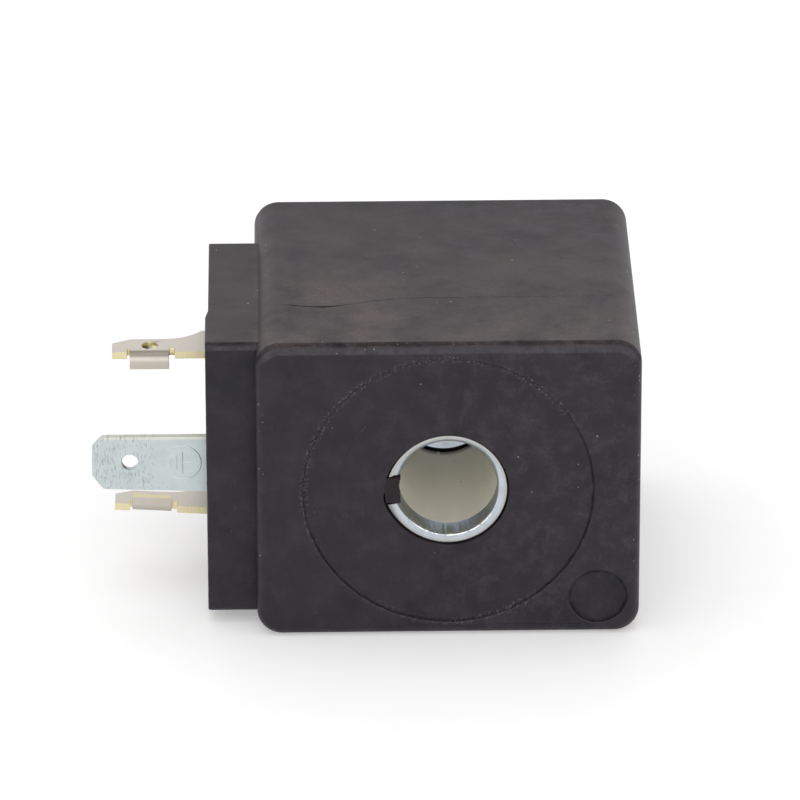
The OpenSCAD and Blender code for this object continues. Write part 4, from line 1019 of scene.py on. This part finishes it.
# The press stood a little askew, so the sign is deeper on its right side and faint on its left
upright_on_face = Matrix.Translation(Vector((-27.4, EARTH_Y - BLADE_HALF + 0.035, 0.2)) * MM) @ (
    Matrix.Rotation(math.radians(-0.9), 4, "Z") @ Matrix.Rotation(math.radians(90), 4, "X")
    @ Matrix.Rotation(math.radians(-90), 4, "Z"))
sign.data.transform(upright_on_face)
bm = whole_copy("earth_terminal")
round_sharp_edges(bm, 0.08)
bm.from_mesh(sign.data)
bpy.data.objects.remove(sign)
takes_place_of(make_piece("earth_blade", bm, [zinc_strip]), "earth_terminal")

# %% [markdown]
# ## What is hidden inside
#
# The winding, the yoke and the rest can't be seen, but whoever opens the model finds them, so they get their own
# finish as well. The winding's outer layer is a real helix, again a path and so again Geometry Nodes.

# %% Materials for the inside
copper_wire, tree, shader, place, in_mm = new_material("enamelled_copper_wire")
# Copper under clear enamel: deep orange, with a gloss that varies from turn to turn
wire_tint = add(tree, "ShaderNodeTexNoise", None, {"Vector": in_mm, "Scale": 1.2, "Detail": 3})
wire_colour = add(tree, "ShaderNodeMix", {"data_type": "RGBA"}, {
    0: wire_tint.outputs["Fac"], 6: linear("9a4a22"), 7: linear("c9743c")})
tree.links.new(wire_colour.outputs[2], shader.inputs["Base Color"])
shader.inputs["Metallic"].default_value = 1.0
wire_gloss = add(tree, "ShaderNodeMapRange", None, {"Value": wire_tint.outputs["Fac"], "To Min": 0.15, "To Max": 0.35})
tree.links.new(wire_gloss.outputs[0], shader.inputs["Roughness"])

tape_yellow, tree, shader, place, in_mm = new_material("polyester_tape")
# Thin glossy film, darker where the copper shows through
tape_tint = add(tree, "ShaderNodeTexNoise", None, {"Vector": in_mm, "Scale": 0.6, "Detail": 4})
tape_colour = add(tree, "ShaderNodeMix", {"data_type": "RGBA"}, {
    0: tape_tint.outputs["Fac"], 6: linear("b48a2c"), 7: linear("e0bd55")})
tree.links.new(tape_colour.outputs[2], shader.inputs["Base Color"])
tape_gloss = add(tree, "ShaderNodeMapRange", None, {"Value": tape_tint.outputs["Fac"], "To Min": 0.2, "To Max": 0.35})
tree.links.new(tape_gloss.outputs[0], shader.inputs["Roughness"])

yoke_iron, tree, shader, place, in_mm = new_material("pickled_soft_iron")
# Dull grey sheet with rolling streaks along the strip
roll_way = add(tree, "ShaderNodeMapping", None, {"Vector": in_mm, "Scale": (0.3, 0.3, 4)})
roll_streaks = add(tree, "ShaderNodeTexNoise", None, {"Vector": roll_way.outputs[0], "Scale": 1.0, "Detail": 4})
iron_colour = add(tree, "ShaderNodeMix", {"data_type": "RGBA"}, {
    0: roll_streaks.outputs["Fac"], 6: linear("75777a"), 7: linear("9c9ea1")})
tree.links.new(iron_colour.outputs[2], shader.inputs["Base Color"])
shader.inputs["Metallic"].default_value = 1.0
iron_matt = add(tree, "ShaderNodeMapRange", None, {"Value": roll_streaks.outputs["Fac"], "To Min": 0.4, "To Max": 0.6})
tree.links.new(iron_matt.outputs[0], shader.inputs["Roughness"])

soft_solder, tree, shader, place, in_mm = new_material("soft_solder")
# Bright where it froze smooth and grey where flux dulled it
solder_tint = add(tree, "ShaderNodeTexNoise", None, {"Vector": in_mm, "Scale": 2.0, "Detail": 3})
solder_colour = add(tree, "ShaderNodeMix", {"data_type": "RGBA"}, {
    0: solder_tint.outputs["Fac"], 6: linear("a3a5a6"), 7: linear("d3d4d4")})
tree.links.new(solder_colour.outputs[2], shader.inputs["Base Color"])
shader.inputs["Metallic"].default_value = 1.0
solder_gloss = add(tree, "ShaderNodeMapRange", None, {"Value": solder_tint.outputs["Fac"], "To Min": 0.15, "To Max": 0.5})
tree.links.new(solder_gloss.outputs[0], shader.inputs["Roughness"])

left_as_built = (
    ("winding_tape", tape_yellow), ("yoke_bracket", yoke_iron), ("yoke_closing_plate", yoke_iron),
    ("earth_rivet", yoke_iron), ("start_lead", copper_wire), ("finish_lead", copper_wire),
    ("start_solder_joint", soft_solder), ("finish_solder_joint", soft_solder),
)
for node, finish in left_as_built:
    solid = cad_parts[node].data
    solid.materials.clear()
    solid.materials.append(finish)
print("finished in place:", len(left_as_built), "solids")

# %% [markdown]
# The winding is hundreds of turns deep, but only its outer layer could ever be seen. So the solid shrinks by one wire,
# and a single helix of that wire is laid round it, each turn touching the next.

# %% Winding: the outer layer as a helix
WIRE_R = 0.2
WINDING_R = 12.9
WINDOW_HALF = 14.5

wire_layer = bpy.data.node_groups.new("wire_layer", "GeometryNodeTree")
wire_layer.interface.new_socket("Geometry", in_out="OUTPUT", socket_type="NodeSocketGeometry")
for label in ("Layer radius", "Layer length", "Turns", "Wire radius"):
    wire_layer.interface.new_socket(label, in_out="INPUT", socket_type="NodeSocketFloat")
wire_layer.interface.new_socket("Finish", in_out="INPUT", socket_type="NodeSocketMaterial")
given = add(wire_layer, "NodeGroupInput")
helix = add(wire_layer, "GeometryNodeCurveSpiral", None, {
    "Resolution": 64, "Rotations": given.outputs["Turns"], "Start Radius": given.outputs["Layer radius"],
    "End Radius": given.outputs["Layer radius"], "Height": given.outputs["Layer length"]})
round_wire = add(wire_layer, "GeometryNodeCurvePrimitiveCircle", None, {
    "Resolution": 8, "Radius": given.outputs["Wire radius"]})
wire = add(wire_layer, "GeometryNodeCurveToMesh", None, {
    "Curve": helix.outputs["Curve"], "Profile Curve": round_wire.outputs["Curve"], "Fill Caps": True})
real_wire = add(wire_layer, "GeometryNodeRealizeInstances", None, {0: wire.outputs[0]})
enamelled = add(wire_layer, "GeometryNodeSetMaterial", None, {
    "Geometry": real_wire.outputs[0], "Material": given.outputs["Finish"]})
add(wire_layer, "NodeGroupOutput", None, {0: enamelled.outputs[0]})

layer_length = 2 * (WINDOW_HALF - WIRE_R)
layer = grown("outer_layer", wire_layer, {
    "Layer radius": (WINDING_R - WIRE_R) * MM, "Layer length": layer_length * MM,
    "Turns": layer_length / (2 * WIRE_R), "Wire radius": 0.99 * WIRE_R * MM, "Finish": copper_wire})
layer.data.transform(Matrix.Rotation(math.radians(90), 4, "X") @ Matrix.Translation((0, 0, -layer_length / 2 * MM)))
bm = whole_copy("winding")
for vert in bm.verts:
    reach = math.hypot(vert.co.x, vert.co.z) / MM
    if reach > WINDING_R - 1:
        vert.co.x *= (WINDING_R - 1.4 * WIRE_R) / reach
        vert.co.z *= (WINDING_R - 1.4 * WIRE_R) / reach
bm.from_mesh(layer.data)
bpy.data.objects.remove(layer)
takes_place_of(make_piece("wound_wire", bm, [copper_wire], 50), "winding")

# %% [markdown]
# The insert for the plug's screw is turned from brass and tapped. Its thread is the same kind of rule as the bush: the
# radius of the hole depends on the angle and the depth, and rises by one pitch with each turn.

# %% Threaded insert
INSERT_PLACE = (-24.9, -2.5, 0.0)
INSERT_R = 2.5
INSERT_LEN = 6.5
INSERT_EDGE = 0.12
HOLE_DEPTH = 5.5
MOUTH = 0.3
CORE_R = 1.25
PITCH = 0.5
THREAD_DEPTH = 0.26
THREAD_ROWS = 90
GROOVE = (1.0, 0.35)
turn = np.linspace(0, 2 * math.pi, 56, endpoint=False)


def tapped_wall(depth):
    """The hole's radius all round at a depth: a V that climbs one pitch a turn and runs out near the bottom."""
    phase = (depth / PITCH - turn / (2 * math.pi)) % 1
    vee = np.clip(1.5 * (1 - np.abs(2 * phase - 1)) - 0.2, 0, 1)
    run_out = np.clip((HOLE_DEPTH - 0.3 - depth) / PITCH, 0, 1)
    return np.maximum(CORE_R + THREAD_DEPTH * vee * run_out, CORE_R + MOUTH - depth)


rings = [(HOLE_DEPTH, CORE_R)]
rings += [(depth, tapped_wall(depth)) for depth in np.linspace(HOLE_DEPTH - 0.1, 0, THREAD_ROWS)]
rings += [(0, INSERT_R - INSERT_EDGE), (INSERT_EDGE, INSERT_R)]
for middle in (INSERT_LEN / 3, INSERT_LEN * 2 / 3):
    near, far = middle - GROOVE[0] / 2, middle + GROOVE[0] / 2
    rings += [(near, INSERT_R), (near, INSERT_R - GROOVE[1]), (far, INSERT_R - GROOVE[1]), (far, INSERT_R)]
rings += [(INSERT_LEN - INSERT_EDGE, INSERT_R), (INSERT_LEN, INSERT_R - INSERT_EDGE)]

bm = bmesh.new()
grid = []
for depth, radius in rings:
    y, z = radius * np.cos(turn), radius * np.sin(turn)
    grid.append([bm.verts.new((Vector(INSERT_PLACE) + Vector((depth, a, b))) * MM) for a, b in zip(y, z)])
for a, b in zip(grid[:-1], grid[1:]):
    for k in range(len(turn)):
        bm.faces.new((a[k], a[k - 1], b[k - 1], b[k]))
bm.faces.new(grid[0])
bm.faces.new(list(reversed(grid[-1])))
bmesh.ops.recalc_face_normals(bm, faces=bm.faces)
takes_place_of(make_piece("tapped_insert", bm, [brass_cut]), "connector_insert")
